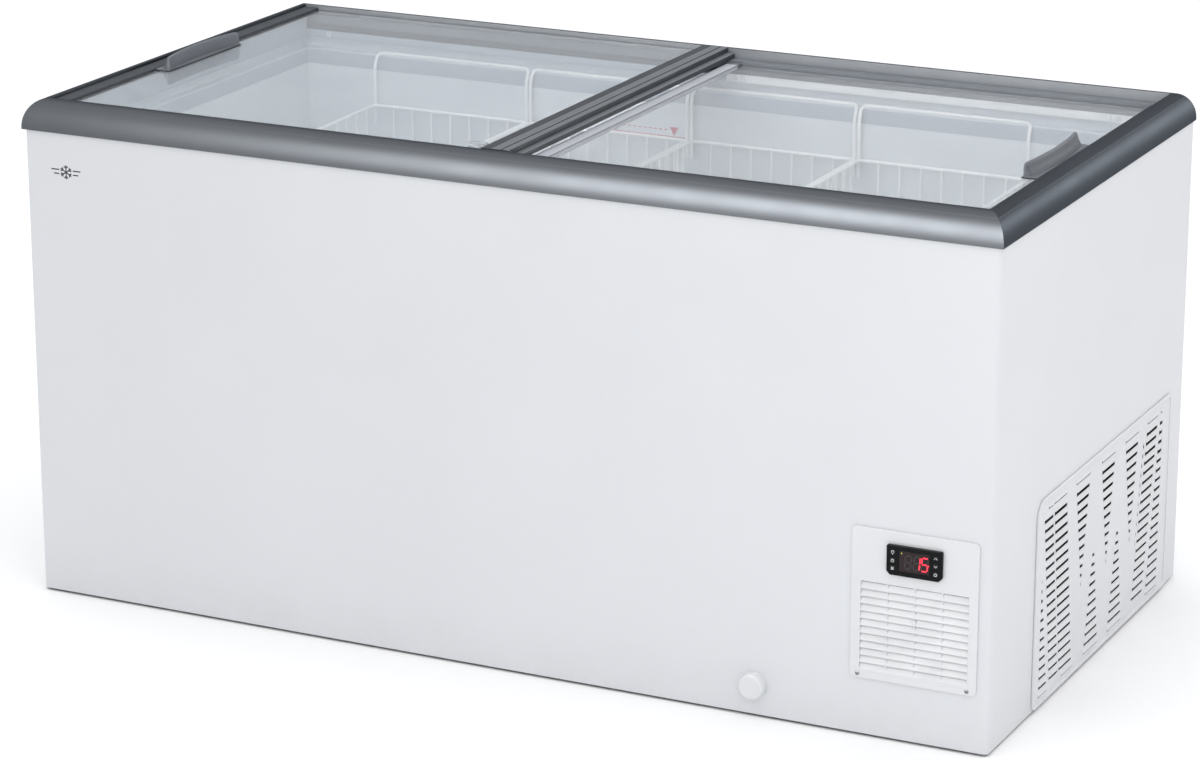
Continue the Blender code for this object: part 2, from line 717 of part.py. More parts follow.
def make_left_lid():
    """The upper lid: its glass, end channel, ridged lap profile, handle and stop disc."""
    frame = slide_empty("lid_left_slide", (-LID_END_X / 2, 0.0, UPPER_FOOT))
    half = LID_HALF_UPPER
    low = UPPER_FOOT + 0.0032 + GAP
    top = low + GLASS
    slot_back = -0.010
    glass = box("lid_left_glass", (-LID_END_X + 0.0035, -half, low), (slot_back, half, top))
    ride(glass, LID_GLASS, frame)
    end = prism("lid_left_end_profile", [channel(UPPER_FOOT, 1)], "Y", -half, half)
    ride(end, LID_GREY, frame)
    lap_top = RIM_TOP + 0.0010
    back = slot_back + GAP
    groove_half, groove_deep = 0.0012, 0.0014
    outline = [
        (LAP_LEFT_X, UPPER_FOOT), (LAP_RIGHT_X, UPPER_FOOT), (LAP_RIGHT_X, LAP_STEP_TOP - 0.003),
        (LAP_RIGHT_X - 0.002, LAP_STEP_TOP), (LAP_STEP_X, LAP_STEP_TOP),
        (LAP_STEP_X, lap_top - 0.002), (LAP_STEP_X - 0.002, lap_top),
        (LAP_GROOVE_X + groove_half, lap_top), (LAP_GROOVE_X + groove_half, lap_top - groove_deep),
        (LAP_GROOVE_X - groove_half, lap_top - groove_deep), (LAP_GROOVE_X - groove_half, lap_top),
        (LAP_LEFT_X + 0.003, lap_top), (LAP_LEFT_X, lap_top - 0.003),
        (LAP_LEFT_X, top + GAP), (back, top + GAP), (back, low - GAP), (LAP_LEFT_X, low - GAP),
    ]
    lap = prism("lid_left_lap_profile", [outline], "Y", -half, half)
    ride(lap, LID_GREY, frame)
    make_handle("lid_left_handle", -1, top, frame)
    profile = [(0.0, 0.0042), (0.0155, 0.0042), (0.0170, 0.0027), (0.0170, 0.0), (0.0, 0.0)]
    disc = turned("lid_left_stop_disc", profile, (-0.051, -0.381, top + GAP), (0, 0, 1))
    ride(disc, CLEAR_PLASTIC, frame)


def make_right_lid():
    """The lower lid: its glass, end channel, clear lap profile and handle."""
    frame = slide_empty("lid_right_slide", (LID_END_X / 2, 0.0, LOWER_FOOT))
    half = LID_HALF_LOWER
    low = LOWER_FOOT + 0.0032 + GAP
    top = low + GLASS
    slot_back = CLEAR_LAP_X + 0.003
    glass = box("lid_right_glass", (slot_back, -half, low), (LID_END_X - 0.0035, half, top))
    ride(glass, LID_GLASS, frame)
    end = prism("lid_right_end_profile", [channel(LOWER_FOOT, -1)], "Y", -half, half)
    ride(end, LID_GREY, frame)
    mouth, back = CLEAR_LAP_X + CLEAR_LAP_WIDE, slot_back - GAP
    outline = [
        (CLEAR_LAP_X, LOWER_FOOT), (mouth, LOWER_FOOT), (mouth, low - GAP), (back, low - GAP),
        (back, top + GAP), (mouth, top + GAP), (mouth, CLEAR_LAP_TOP), (CLEAR_LAP_X, CLEAR_LAP_TOP),
    ]
    lap = prism("lid_right_lap_profile", [outline], "Y", -half, half)
    reach = LOWER_WALL_Y - 0.002
    flap_low = (CLEAR_LAP_X + 0.001, -reach, CLEAR_FLAP_FOOT)
    flap_high = (CLEAR_LAP_X + 0.004, reach, LOWER_FOOT + 0.0015)
    boolean(lap, boxes("lap_flap", [(flap_low, flap_high)]), "UNION")
    ride(lap, CLEAR_PLASTIC, frame)
    make_handle("lid_right_handle", 1, top, frame)


def hanger_route(side):
    """Half of a hanger loop, from its foot at the left up to the middle of its top bar."""
    bend = HANGER_BAR_Y - HANGER_Y
    leg_x = -BASKET_WIDE / 2 + WIRE
    points = [(leg_x, side * HANGER_Y, BASKET_RIM - 0.025)]
    for step in range(5):
        angle = math.pi / 2 * step / 4
        swing = bend * (1 - math.cos(angle))
        height = HANGER_BAR_Z - bend + bend * math.sin(angle)
        points.append((leg_x + swing, side * (HANGER_Y + swing), height))
    return points


def make_baskets():
    """Each basket: a tray of the wire basket's outline, with a hanger loop at each end."""
    half_x, half_y = BASKET_WIDE / 2 - 0.0015, HANGER_Y + 0.0015
    for number in range(BASKET_COUNT):
        middle = BASKET_START + BASKET_WIDE / 2 + number * BASKET_PITCH
        name = f"basket_{number + 1}"
        basket = open_box(name, (-half_x, -half_y, BASKET_FLOOR), (half_x, half_y, BASKET_RIM), [(0, 0, 1)])
        basket.location.x = middle
        thicken(basket, 0.002)
        place(basket, WHITE_WIRE)
        for side in (-1, 1):
            left = hanger_route(side)
            route = left + [(-x, y, z) for x, y, z in reversed(left)]
            loop = rod(f"{name}_hanger", route, WIRE, smooth_route=False)
            loop.location.x = middle
            boolean(basket, loop, "UNION")


def make_front_vent():
    """Front vent panel and its screws, with the controller, its window and its keys."""
    back = -CASE_Y - GAP
    face = back - VENT_THICK
    outline = rounded((VENT_X[0], VENT_Z[0]), (VENT_X[1], VENT_Z[1]), (0.008,) * 4)
    holes = [rectangle(low, high) for low, high in vent_slots()]
    wide, tall = CONTROL_SIZE
    body_x, body_z = wide / 2 - 0.0045, tall / 2 - 0.0040
    holes.append(rectangle((CONTROL_X - body_x - GAP, CONTROL_Z - body_z - GAP),
                           (CONTROL_X + body_x + GAP, CONTROL_Z + body_z + GAP)))
    panel = prism("front_vent_panel", [outline, *holes], "Y", face, back)
    place(panel, WHITE_PLASTIC)

    bezel_back, bezel_face = face - GAP, face - 0.0062
    chamfer = 0.006
    low, high = (CONTROL_X - wide / 2, CONTROL_Z - tall / 2), (CONTROL_X + wide / 2, CONTROL_Z + tall / 2)
    bezel = [
        (low[0] + chamfer, low[1]), (high[0] - chamfer, low[1]), (high[0], low[1] + chamfer),
        *rounded(low, high, (0.003,) * 4, steps=2)[6:], (low[0], low[1] + chamfer),
    ]
    housing = prism("controller_housing", [bezel], "Y", bezel_face, bezel_back)
    body = boxes("controller_body", [
        ((CONTROL_X - body_x, bezel_back - 0.001, CONTROL_Z - body_z),
         (CONTROL_X + body_x, face + 0.055, CONTROL_Z + body_z)),
    ])
    place(housing, BLACK_PLASTIC)
    boolean(housing, body, "UNION")

    window = (0.025, 0.0165)
    key = (0.0045, 0.0038)
    key_spots = {
        f"key_{column}_{row}": (CONTROL_X + x, CONTROL_Z + z)
        for column, x in (("left", -0.0355), ("right", 0.0355))
        for row, z in (("top", 0.0130), ("middle", 0.0), ("bottom", -0.0130))
    }
    recesses = [
        ((CONTROL_X - window[0] - GAP, bezel_face - 0.01, CONTROL_Z - window[1] - GAP),
         (CONTROL_X + window[0] + GAP, bezel_face + 0.0013, CONTROL_Z + window[1] + GAP)),
    ]
    recesses += [
        ((x - key[0] - GAP, bezel_face - 0.01, z - key[1] - GAP),
         (x + key[0] + GAP, bezel_face + 0.0030, z + key[1] + GAP))
        for x, z in key_spots.values()
    ]
    boolean(housing, boxes("controller_recesses", recesses))
    glass = box("controller_window", (CONTROL_X - window[0], bezel_face + 0.0002, CONTROL_Z - window[1]),
                (CONTROL_X + window[0], bezel_face + 0.0010, CONTROL_Z + window[1]))
    place(glass, DISPLAY)
    for name, (x, z) in key_spots.items():
        button = box(name, (x - key[0], bezel_face - 0.0006, z - key[1]),
                     (x + key[0], bezel_face + 0.0020, z + key[1]), bevel=0.0004)
        place(button, BLACK_PLASTIC)

    for number, x in enumerate(SCREW_X, 1):
        profile = [(0.0, 0.0016), (0.0022, 0.0013), (0.0034, 0.0004), (0.0034, 0.0), (0.0, 0.0)]
        screw = turned(f"vent_screw_{number}", profile, (x, face - GAP, SCREW_Z), (0, -1, 0), 16)
        place(screw, DARK_SCREW)


def make_side_vent():
    """Slotted side panel over the compressor compartment."""
    low, high = (SIDE_Y[0], SIDE_Z[0]), (SIDE_Y[1], SIDE_Z[1])
    outline = rounded(low, high, (0.006, 0.006, 0.012, 0.030))
    holes = [rectangle(*slot) for slot in side_slots()]
    panel = prism("side_vent_panel", [outline, *holes], "X", CASE_X + GAP, CASE_X + GAP + 0.0035)
    place(panel, WHITE_PLASTIC)


def make_drain_cap():
    """Round cap with a stem that plugs the drain spout; it pulls off towards the front."""
    height = -CASE_Y - GAP - CAP_FACE_Y
    radius, stem, reach = DRAIN_CAP_RADIUS, 0.0068, -0.022
    profile = [
        (0.0, height), (radius - 0.0040, height), (radius - 0.0012, height - 0.0012),
        (radius, height - 0.0040), (radius, 0.0), (stem, 0.0), (stem, reach + 0.001),
        (stem - 0.001, reach), (0.0, reach),
    ]
    cap = turned("drain_cap", profile, (DRAIN_X, -CASE_Y - GAP, DRAIN_Z), (0, -1, 0), 32)
    place(cap, WHITE_PLASTIC)


def make_condensing_unit():
    """Compressor, condenser, fan and pipes in the compartment."""
    low, high = UNIT_Z
    front, rear = CONDENSER_Y
    fins_half, edge = 0.094, 0.003
    fins_low = (UNIT_X - fins_half, front + edge, low + 2 * edge)
    fins_high = (UNIT_X + fins_half, rear - edge, high - 2 * edge)
    condenser = box("condenser", fins_low, fins_high)
    plates = [((UNIT_X + x, front, low), (UNIT_X + x + edge, rear, high)) for x in (-0.0955, 0.0925)]
    place(condenser, ALUMINIUM)
    boolean(condenser, boxes("condenser_plates", plates), "UNION")

    plate = prism(
        "fan_shroud",
        [rectangle((UNIT_X - UNIT_HALF, low), (UNIT_X + UNIT_HALF, high)), circle((UNIT_X, FAN_Z), 0.093)],
        "Y", -0.3850, -0.3815,
    )
    arm, bar_y = 0.003, -0.3087
    sides = (UNIT_X - 0.0995, UNIT_X + 0.0995 - arm)
    bracket = [((x, -0.3830, FAN_Z - 0.009), (x + arm, bar_y + 0.002, FAN_Z + 0.009)) for x in sides]
    across_low = (sides[0] + 0.001, bar_y, FAN_Z - 0.009)
    across = [(across_low, (sides[1] + arm - 0.001, bar_y + 0.003, FAN_Z + 0.009))]
    place(plate, BLACK_METAL)
    for number, pieces in enumerate((bracket, across)):
        boolean(plate, boxes(f"fan_bracket_{number}", pieces), "UNION")

    profile = [
        (0.0, 0.024), (SHAFT_RADIUS, 0.024), (SHAFT_RADIUS, 0.0), (0.030, 0.0), (0.038, -0.008),
        (0.038, -0.038), (0.032, -0.043), (0.0, -0.043),
    ]
    motor_y = -0.352
    motor = turned("fan_motor", profile, (UNIT_X, motor_y, FAN_Z), (0, -1, 0))
    place(motor, BLACK_METAL)
    hub = turned(
        "fan_blade", [(0.0, 0.009), (0.018, 0.009), (0.018, -0.009), (0.0, -0.009)],
        (UNIT_X, FAN_HUB_Y, FAN_Z), (0, -1, 0),
    )
    place(hub, BLACK_PLASTIC)
    for number in range(5):
        blade = boxes(f"blade_{number}", [((0.012, -0.019, -0.0008), (0.090, 0.019, 0.0008))])
        pitch = Matrix.Rotation(math.radians(22), 4, "X")
        around = Matrix.Rotation(2 * math.pi * number / 5, 4, "Z")
        blade.matrix_world = hub.matrix_world @ around @ pitch
        boolean(hub, blade, "UNION")
    bore = [circle((UNIT_X, FAN_Z), SHAFT_RADIUS + SHAFT_CLEARANCE)]
    boolean(hub, prism("fan_bore", bore, "Y", -0.40, -0.33))

    base = TRAY_TOP + GAP
    can = [
        (0.0, 0.192), (0.030, 0.190), (0.058, 0.178), (0.074, 0.158), (0.080, 0.130), (0.081, 0.102),
        (0.087, 0.100), (0.087, 0.094), (0.081, 0.092), (0.080, 0.045), (0.070, 0.018), (0.050, 0.006),
        (0.0, 0.006),
    ]
    where = (*COMPRESSOR_SPOT, base)
    compressor = turned("compressor", can, where, (0, 0, 1))
    place(compressor, BLACK_METAL)
    feet_low = (where[0] - 0.105, where[1] - 0.055, base)
    feet_high = (where[0] + 0.105, where[1] + 0.055, base + 0.010)
    boolean(compressor, boxes("compressor_feet", [(feet_low, feet_high)]), "UNION")

    drier = [
        (0.0, 0.060), (0.004, 0.060), (0.004, 0.050), (0.011, 0.038), (0.011, -0.038),
        (0.004, -0.050), (0.004, -0.060), (0.0, -0.060),
    ]
    place(turned("filter_drier", drier, (0.660, -0.180, 0.180), (0, 0, 1), 16), COPPER)
    discharge = [
        (where[0], where[1], base + 0.1925), (where[0], where[1], 0.270), (0.710, 0.080, 0.300),
        (0.690, -0.120, 0.300), (0.690, -0.340, 0.295), (0.690, -0.412, 0.285), (0.690, -0.412, 0.2595),
    ]
    place(rod("discharge_pipe", discharge, 0.004), COPPER)
    suction = [
        (0.790, 0.258, 0.140), (0.790, 0.285, 0.150), (0.780, 0.300, 0.200), (0.740, 0.300, 0.290),
        (0.730, 0.300, COMPARTMENT_TOP - 0.030), (0.730, 0.300, COMPARTMENT_TOP - 0.001),
    ]
    place(rod("suction_pipe", suction, 0.005), COPPER)


make_wrap()
make_back_and_base()
make_liner()
make_insulation()
make_rim_and_tracks()
make_left_lid()
make_right_lid()
make_baskets()
make_front_vent()
make_side_vent()
make_drain_cap()
make_condensing_unit()
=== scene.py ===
"""The looks of a commercial chest freezer with two sliding flat-glass lids and four wire baskets.

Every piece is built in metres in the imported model's frame and rides on one of its bodies. Places
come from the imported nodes' boxes; the profile sizes that a box doesn't hold are named below.
"""

import math

import bmesh
import bpy
from mathutils import Matrix, Vector


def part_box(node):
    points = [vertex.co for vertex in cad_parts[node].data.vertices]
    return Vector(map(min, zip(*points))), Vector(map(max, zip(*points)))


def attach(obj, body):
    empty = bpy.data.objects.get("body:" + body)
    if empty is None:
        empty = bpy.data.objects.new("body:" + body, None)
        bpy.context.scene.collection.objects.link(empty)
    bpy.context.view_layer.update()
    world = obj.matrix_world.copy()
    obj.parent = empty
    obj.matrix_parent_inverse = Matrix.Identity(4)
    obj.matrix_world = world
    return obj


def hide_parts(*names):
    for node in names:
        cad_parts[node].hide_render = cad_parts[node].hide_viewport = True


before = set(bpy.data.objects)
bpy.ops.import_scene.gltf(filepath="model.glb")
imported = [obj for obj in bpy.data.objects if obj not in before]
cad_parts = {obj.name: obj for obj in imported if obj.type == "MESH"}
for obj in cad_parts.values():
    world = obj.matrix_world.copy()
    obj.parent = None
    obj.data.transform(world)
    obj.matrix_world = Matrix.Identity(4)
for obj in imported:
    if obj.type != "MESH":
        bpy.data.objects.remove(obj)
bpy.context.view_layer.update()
scene = bpy.context.scene

# Camera: turned to the right of the front, above the lids
CAMERA_YAW = 26.0
CAMERA_PITCH = 17.13
CAMERA_DISTANCE = 6.819
CAMERA_TARGET = (0.0, 0.0, 0.43)
CAMERA_SLIDE = (-0.0193, -0.0596)
LENS = 120.2

# Profiles
SHEET = 0.0012
CASE_CORNER = 0.008
RIM_SHOULDER = 0.818
RIM_CURVE = 0.034
RIM_LIP = 0.0037
RIM_SEAT = 0.8303
RIM_CREASE = 0.0150
MITRE_TRIM = 0.00025
LOWER_WALL_Y = 0.380
UPPER_WALL_Y = 0.402
LOWER_LEDGE = 0.8330
SHOULDER_Z = 0.794
BAND_TOP = 0.8262
SHOULDER_DEEP = 0.014
COLLAR_WALL = 0.003
SILL_IN_X = 0.806
LID_FOOT_LIP = 0.0032
GLASS_GAP = 0.0003
LID_BAR = 0.028
BASKET_WIRE = 0.0019
BASKET_RIM_WIRE = 0.0030
HANGER_WIRE = 0.0032
BASKET_GRID = 0.037
BASKET_RIM_Z = 0.705
# Left of this x the white band is painted collar grey: painted shade under the upper lid
BAND_PAINTED_SHADE_END_X = 0.040


# ---------------------------------------------------------------- materials

def node(tree, kind, settings=None, **inputs):
    """A shader node with its settings and its inputs, which are values or other nodes' sockets."""
    made = tree.nodes.new(kind)
    for name, value in (settings or {}).items():
        setattr(made, name, value)
    for name, value in inputs.items():
        socket = made.inputs[name.replace("_", " ")]
        if isinstance(value, bpy.types.NodeSocket):
            tree.links.new(value, socket)
        else:
            socket.default_value = value
    return made


def mixed(tree, factor, first, second):
    """A colour between two, each a colour or a socket."""
    made = tree.nodes.new("ShaderNodeMix")
    made.data_type = "RGBA"
    for index, value in ((0, factor), (6, first), (7, second)):
        if isinstance(value, bpy.types.NodeSocket):
            tree.links.new(value, made.inputs[index])
        else:
            made.inputs[index].default_value = value
    return made.outputs[2]


def shade(colour, share):
    return (*(min(1.0, channel * share) for channel in colour), 1.0)


def noise(tree, place, scale, detail=3.0):
    settings = {"Scale": scale, "Detail": detail, "Roughness": 0.55}
    return node(tree, "ShaderNodeTexNoise", Vector=place, **settings).outputs["Fac"]


def ranged(tree, value, low, high, start=0.3, end=0.7):
    """A value spread from start..end to low..high, and held there beyond."""
    made = node(tree, "ShaderNodeMapRange", Value=value)
    for name, number in (("From Min", start), ("From Max", end), ("To Min", low), ("To Max", high)):
        made.inputs[name].default_value = number
    return made.outputs["Result"]


def finish(name, colour, roughness, metallic=0.0, variation=0.05, blotch=5.0, spread=0.06, grain=700.0,
           relief=0.00002, stretch=(1, 1, 1), skirt=None, edge=0.0, **values):
    """A procedural finish: cloudy colour and gloss, lighter rounded edges and a grain in relief.

    skirt is (height, share): the colour falls to that share towards the floor below that height.
    """
    made = bpy.data.materials.new(name)
    made.use_nodes = True
    tree = made.node_tree
    shader = tree.nodes["Principled BSDF"]
    where = node(tree, "ShaderNodeTexCoord").outputs["Object"]
    grained = node(tree, "ShaderNodeMapping", Vector=where, Scale=stretch).outputs["Vector"]
    cloud = noise(tree, where, blotch)
    spread_out = ranged(tree, cloud, 0.0, 1.0)
    tone = mixed(tree, spread_out, shade(colour, 1 - variation), shade(colour, 1 + variation))
    # skirt: the colour grows darker towards the floor below the skirt height, in noisy patches
    if skirt:
        height = node(tree, "ShaderNodeSeparateXYZ", Vector=where).outputs["Z"]
        low = ranged(tree, height, 1.0, 0.0, 0.0, skirt[0])
        darker_low = node(tree, "ShaderNodeMath", {"operation": "MULTIPLY"}).outputs[0]
        tree.links.new(low, darker_low.node.inputs[0])
        tree.links.new(ranged(tree, noise(tree, where, 18.0, 5.0), 0.25, 1.0), darker_low.node.inputs[1])
        tone = mixed(tree, darker_low, tone, shade(colour, skirt[1]))
    # edge: the colour grows lighter on rounded edges, up to 1.9 times
    if edge:
        soft = node(tree, "ShaderNodeBevel", {"samples": 4}, Radius=0.0012).outputs["Normal"]
        flat = node(tree, "ShaderNodeNewGeometry").outputs["Normal"]
        across = node(tree, "ShaderNodeVectorMath", {"operation": "DOT_PRODUCT"})
        tree.links.new(soft, across.inputs[0])
        tree.links.new(flat, across.inputs[1])
        edge_lightening = ranged(tree, across.outputs["Value"], edge, 0.0, 0.90, 0.995)
        tone = mixed(tree, edge_lightening, tone, shade(colour, 1.9))
    tree.links.new(tone, shader.inputs["Base Color"])
    patches = noise(tree, where, blotch * 3.7, 5.0)
    gloss = ranged(tree, patches, max(0.0, roughness - spread), roughness + spread)
    tree.links.new(gloss, shader.inputs["Roughness"])
    height = noise(tree, grained, grain, 2.0)
    bump = node(tree, "ShaderNodeBump", Height=height, Strength=1.0, Distance=relief)
    tree.links.new(bump.outputs["Normal"], shader.inputs["Normal"])
    shader.inputs["Metallic"].default_value = metallic
    for socket, value in values.items():
        shader.inputs[socket.replace("_", " ")].default_value = value
    return made


CASE = finish("white_enamel", (0.685, 0.697, 0.72), 0.36, variation=0.012, blotch=2.0, spread=0.05,
              grain=260.0, relief=0.00002, skirt=(0.10, 0.94), Coat_Weight=0.12,
              Coat_Roughness=0.15)
REAR = finish("rear_enamel", (0.77, 0.78, 0.80), 0.45, variation=0.03, blotch=3.0, grain=300.0,
              relief=0.00003, skirt=(0.2, 0.85))
GALVANISED = finish("galvanised_sheet", (0.50, 0.52, 0.53), 0.42, 0.9, variation=0.18, blotch=60.0,
                    spread=0.12)
LINER = finish("liner_enamel", (0.775, 0.805, 0.835), 0.42, variation=0.015, blotch=3.0,
               grain=420.0, relief=0.00005)
FOAM = finish("foam", (0.80, 0.72, 0.48), 0.9, variation=0.12, blotch=25.0, grain=500.0,
              relief=0.0004)
RIM = finish("rim_anodised", (0.092, 0.098, 0.106), 0.44, 0.92, variation=0.03, blotch=3.0,
             spread=0.03, grain=900.0, relief=0.000008, edge=0.15,
             Specular_Tint=(0.30, 0.32, 0.35, 1.0))
# A lighter, nearly matt copy of the rim finish: painted light on the inner upright faces of the front
# and rear rims
RIM_INNER_PAINTED_LIT = finish("rim_inner_painted_lit", (0.275, 0.290, 0.310), 0.5, 0.1, variation=0.04, grain=900.0,
                   relief=0.00001)
TRACK = finish("track_plastic", (0.196, 0.214, 0.240), 0.45, variation=0.05, grain=900.0,
               spread=0.06, Specular_IOR_Level=0.3)
# A darker copy of the track finish: painted shade on the lower ledge and its wall, under the lids
TRACK_LEDGE_PAINTED_SHADE = finish("track_ledge_painted_shade", (0.072, 0.077, 0.086), 0.5, variation=0.06, grain=900.0,
                    Specular_IOR_Level=0.25)
# Near-black for the bottoms of the runner grooves: painted shade in the grooves
TRACK_GROOVE_PAINTED_SHADE = finish("track_groove_painted_shade", (0.040, 0.043, 0.048), 0.5, variation=0.08, grain=900.0)
# Grey for the joint strips on the band; on the collar and on the band's left part this grey is painted
# shade
COLLAR_SHADE_AND_JOINT_GREY = finish("collar_shade_and_joint_grey", (0.48, 0.515, 0.565), 0.45, variation=0.02, grain=600.0,
                relief=0.00003)
# A lighter copy of the collar grey: painted light on the collar's upper part and shoulder
COLLAR_PAINTED_LIT = finish("collar_shoulder_painted_lit", (0.64, 0.675, 0.715), 0.45, variation=0.02, grain=600.0,
                      relief=0.00003)
SILL = finish("sill_plastic", (0.42, 0.45, 0.49), 0.45, variation=0.03, grain=600.0, relief=0.00003)
BAND = finish("white_strip", (0.90, 0.905, 0.915), 0.35, variation=0.02, grain=600.0)
FRAME = finish("lid_frame_plastic", (0.046, 0.051, 0.058), 0.45, variation=0.05, grain=900.0,
               edge=0.3, Specular_IOR_Level=0.15)
FRAME_LIGHT = finish("lid_frame_side", (0.130, 0.140, 0.155), 0.42, variation=0.04, grain=900.0,
                     Specular_IOR_Level=0.3)
HANDLE = finish("handle_plastic", (0.150, 0.162, 0.182), 0.52, variation=0.04, grain=1200.0,
                relief=0.00003, edge=0.30, Specular_IOR_Level=0.3)
GASKET = finish("black_rubber", (0.012, 0.012, 0.014), 0.6, variation=0.2, grain=1500.0)
WIRE = finish("white_coated_wire", (0.98, 0.985, 0.99), 0.38, variation=0.03, blotch=12.0,
              grain=500.0, relief=0.00004, Coat_Weight=0.2)
PLASTIC = finish("white_plastic", (0.705, 0.712, 0.726), 0.42, variation=0.012, blotch=6.0,
                 grain=1400.0, relief=0.00003)
BEZEL = finish("bezel_gloss", (0.006, 0.0065, 0.007), 0.24, variation=0.2, grain=1500.0,
               relief=0.00001, Specular_IOR_Level=0.10)
KEY = finish("key_rubber", (0.008, 0.0085, 0.009), 0.34, variation=0.2, grain=2000.0,
             Specular_IOR_Level=0.2)
PRINT = finish("white_print", (0.74, 0.75, 0.76), 0.5, variation=0.03, grain=1500.0)
INK = finish("dark_print", (0.022, 0.023, 0.026), 0.45, variation=0.15, grain=1500.0)
LIMIT_RED = finish("limit_mark", (0.60, 0.10, 0.12), 0.5, variation=0.06, grain=1500.0)
SCREW = finish("screw_zinc", (0.26, 0.27, 0.29), 0.42, 0.6, variation=0.2, grain=1500.0)
STEEL_SCREW = finish("screw_steel", (0.45, 0.45, 0.46), 0.32, 0.9, variation=0.1, grain=1500.0)
BLACK = finish("black_plastic", (0.016, 0.016, 0.018), 0.6, variation=0.15, grain=900.0,
               relief=0.00006, edge=0.2, Specular_IOR_Level=0.15)
BLACK_METAL = finish("black_enamel", (0.018, 0.018, 0.019), 0.4, 0.2, variation=0.2, grain=300.0,
                     relief=0.00008)
COPPER = finish("copper_tube", (0.70, 0.38, 0.24), 0.33, 1.0, variation=0.16, blotch=30.0,
                spread=0.1)
FINS = finish("aluminium_fins", (0.62, 0.63, 0.64), 0.4, 0.9, variation=0.08, grain=420.0,
              relief=0.0006, stretch=(1, 0.02, 0.02))


def clear_material(name, colour, roughness, smears, blotch, **values):
    """Glass or clear plastic, with faint smears in its gloss."""
    return finish(name, colour, roughness, variation=0.02, blotch=blotch, spread=smears, grain=40.0,
                  relief=0.0000005, **values)


GLASS_LEFT = clear_material("lid_glass_left", (0.915, 0.942, 0.958), 0.006, 0.004, 6.0,
                            Transmission_Weight=0.94, IOR=1.5, Specular_IOR_Level=0.35)
GLASS_RIGHT = clear_material("lid_glass_right", (0.955, 0.973, 0.982), 0.004, 0.003, 6.0,
                             Transmission_Weight=0.96, IOR=1.5, Specular_IOR_Level=0.35)
CLEAR = clear_material("clear_plastic", (0.80, 0.83, 0.86), 0.16, 0.05, 30.0,
                       Transmission_Weight=0.85, IOR=1.47)
STRIP = finish("lap_strip_plastic", (0.53, 0.54, 0.59), 0.35, variation=0.03, grain=900.0,
               Transmission_Weight=0.15, Specular_IOR_Level=0.3)
# A darker copy of the panel's white plastic for the louvres: painted shade on the up-tilted slats
SLAT_PAINTED_SHADE = finish("louvre_painted_shade", (0.585, 0.593, 0.607), 0.45, variation=0.012, blotch=6.0,
              grain=1400.0, relief=0.00003)
CLEAR_STRIP = clear_material("clear_strip", (0.86, 0.87, 0.90), 0.02, 0.01, 30.0,
                             Transmission_Weight=1.0, IOR=1.04, Specular_IOR_Level=0.3)
WINDOW = clear_material("display_window", (0.020, 0.010, 0.011), 0.12, 0.03, 20.0,
                        Specular_IOR_Level=0.25)


def glowing(name, colour, strength, base):
    """A lit segment: its base colour with an even glow."""
    made = finish(name, base, 0.3, variation=0.1, grain=1500.0)
    shader = made.node_tree.nodes["Principled BSDF"]
    shader.inputs["Emission Color"].default_value = (*colour, 1.0)
    shader.inputs["Emission Strength"].default_value = strength
    return made


SEGMENT_ON = glowing("segment_lit", (1.0, 0.02, 0.05), 1.7, (0.4, 0.01, 0.02))
SEGMENT_OFF = finish("segment_unlit", (0.016, 0.010, 0.011), 0.3, variation=0.1, grain=1500.0)
LED = glowing("led_lit", (0.75, 0.80, 0.10), 1.2, (0.3, 0.3, 0.05))


# ---------------------------------------------------------------- geometry helpers

def mesh_of(shape):
    bmesh.ops.recalc_face_normals(shape, faces=shape.faces)
    mesh = bpy.data.meshes.new("mesh")
    shape.to_mesh(mesh)
    shape.free()
    return mesh


def settled(thing):
    """The mesh of a thing with its modifiers applied; the thing itself then goes."""
    scene.collection.objects.link(thing)
    bpy.context.view_layer.update()
    evaluated = thing.evaluated_get(bpy.context.evaluated_depsgraph_get())
    mesh = bpy.data.meshes.new_from_object(evaluated)
    bpy.data.objects.remove(thing, do_unlink=True)
    return mesh


BEVEL_ANGLE = 40


def bevelled(mesh, width, segments=2):
    thing = bpy.data.objects.new(mesh.name, mesh)
    step = thing.modifiers.new("bevel", "BEVEL")
    step.width = width
    step.segments = segments
    step.limit_method = "ANGLE"
    step.angle_limit = math.radians(BEVEL_ANGLE)
    step.use_clamp_overlap = True
    return settled(thing)


def cut(mesh, cutter):
    """A mesh with another one cut out of it."""
    tool = bpy.data.objects.new("cutter", cutter)
    scene.collection.objects.link(tool)
    thing = bpy.data.objects.new(mesh.name, mesh)
    step = thing.modifiers.new("cut", "BOOLEAN")
    step.operation = "DIFFERENCE"
    step.solver = "EXACT"
    step.object = tool
    made = settled(thing)
    bpy.data.objects.remove(tool, do_unlink=True)
    return made


def joined(meshes):
    """Several meshes as one, each with a material number, or None to keep its own."""
    shape = bmesh.new()
    for number, mesh in meshes:
        start = len(shape.faces)
        shape.from_mesh(mesh)
        shape.faces.ensure_lookup_table()
        for face in shape.faces[start:]:
            if number is not None:
                face.material_index = number
        bpy.data.meshes.remove(mesh)
    mesh = bpy.data.meshes.new("mesh")
    shape.to_mesh(mesh)
    shape.free()
    return mesh


def boxes(sizes):
    """One mesh of boxes, each given as its lowest and highest corner."""
    shape = bmesh.new()
    for low, high in sizes:
        low, high = Vector(low), Vector(high)
        placed = Matrix.Translation((low + high) / 2) @ Matrix.Diagonal((*(high - low), 1.0))
        bmesh.ops.create_cube(shape, size=1.0, matrix=placed)
    return mesh_of(shape)


AXIS_POINT = {
    "X": lambda a, b, along: (along, a, b),
    "Y": lambda a, b, along: (a, along, b),
    "Z": lambda a, b, along: (a, b, along),
}


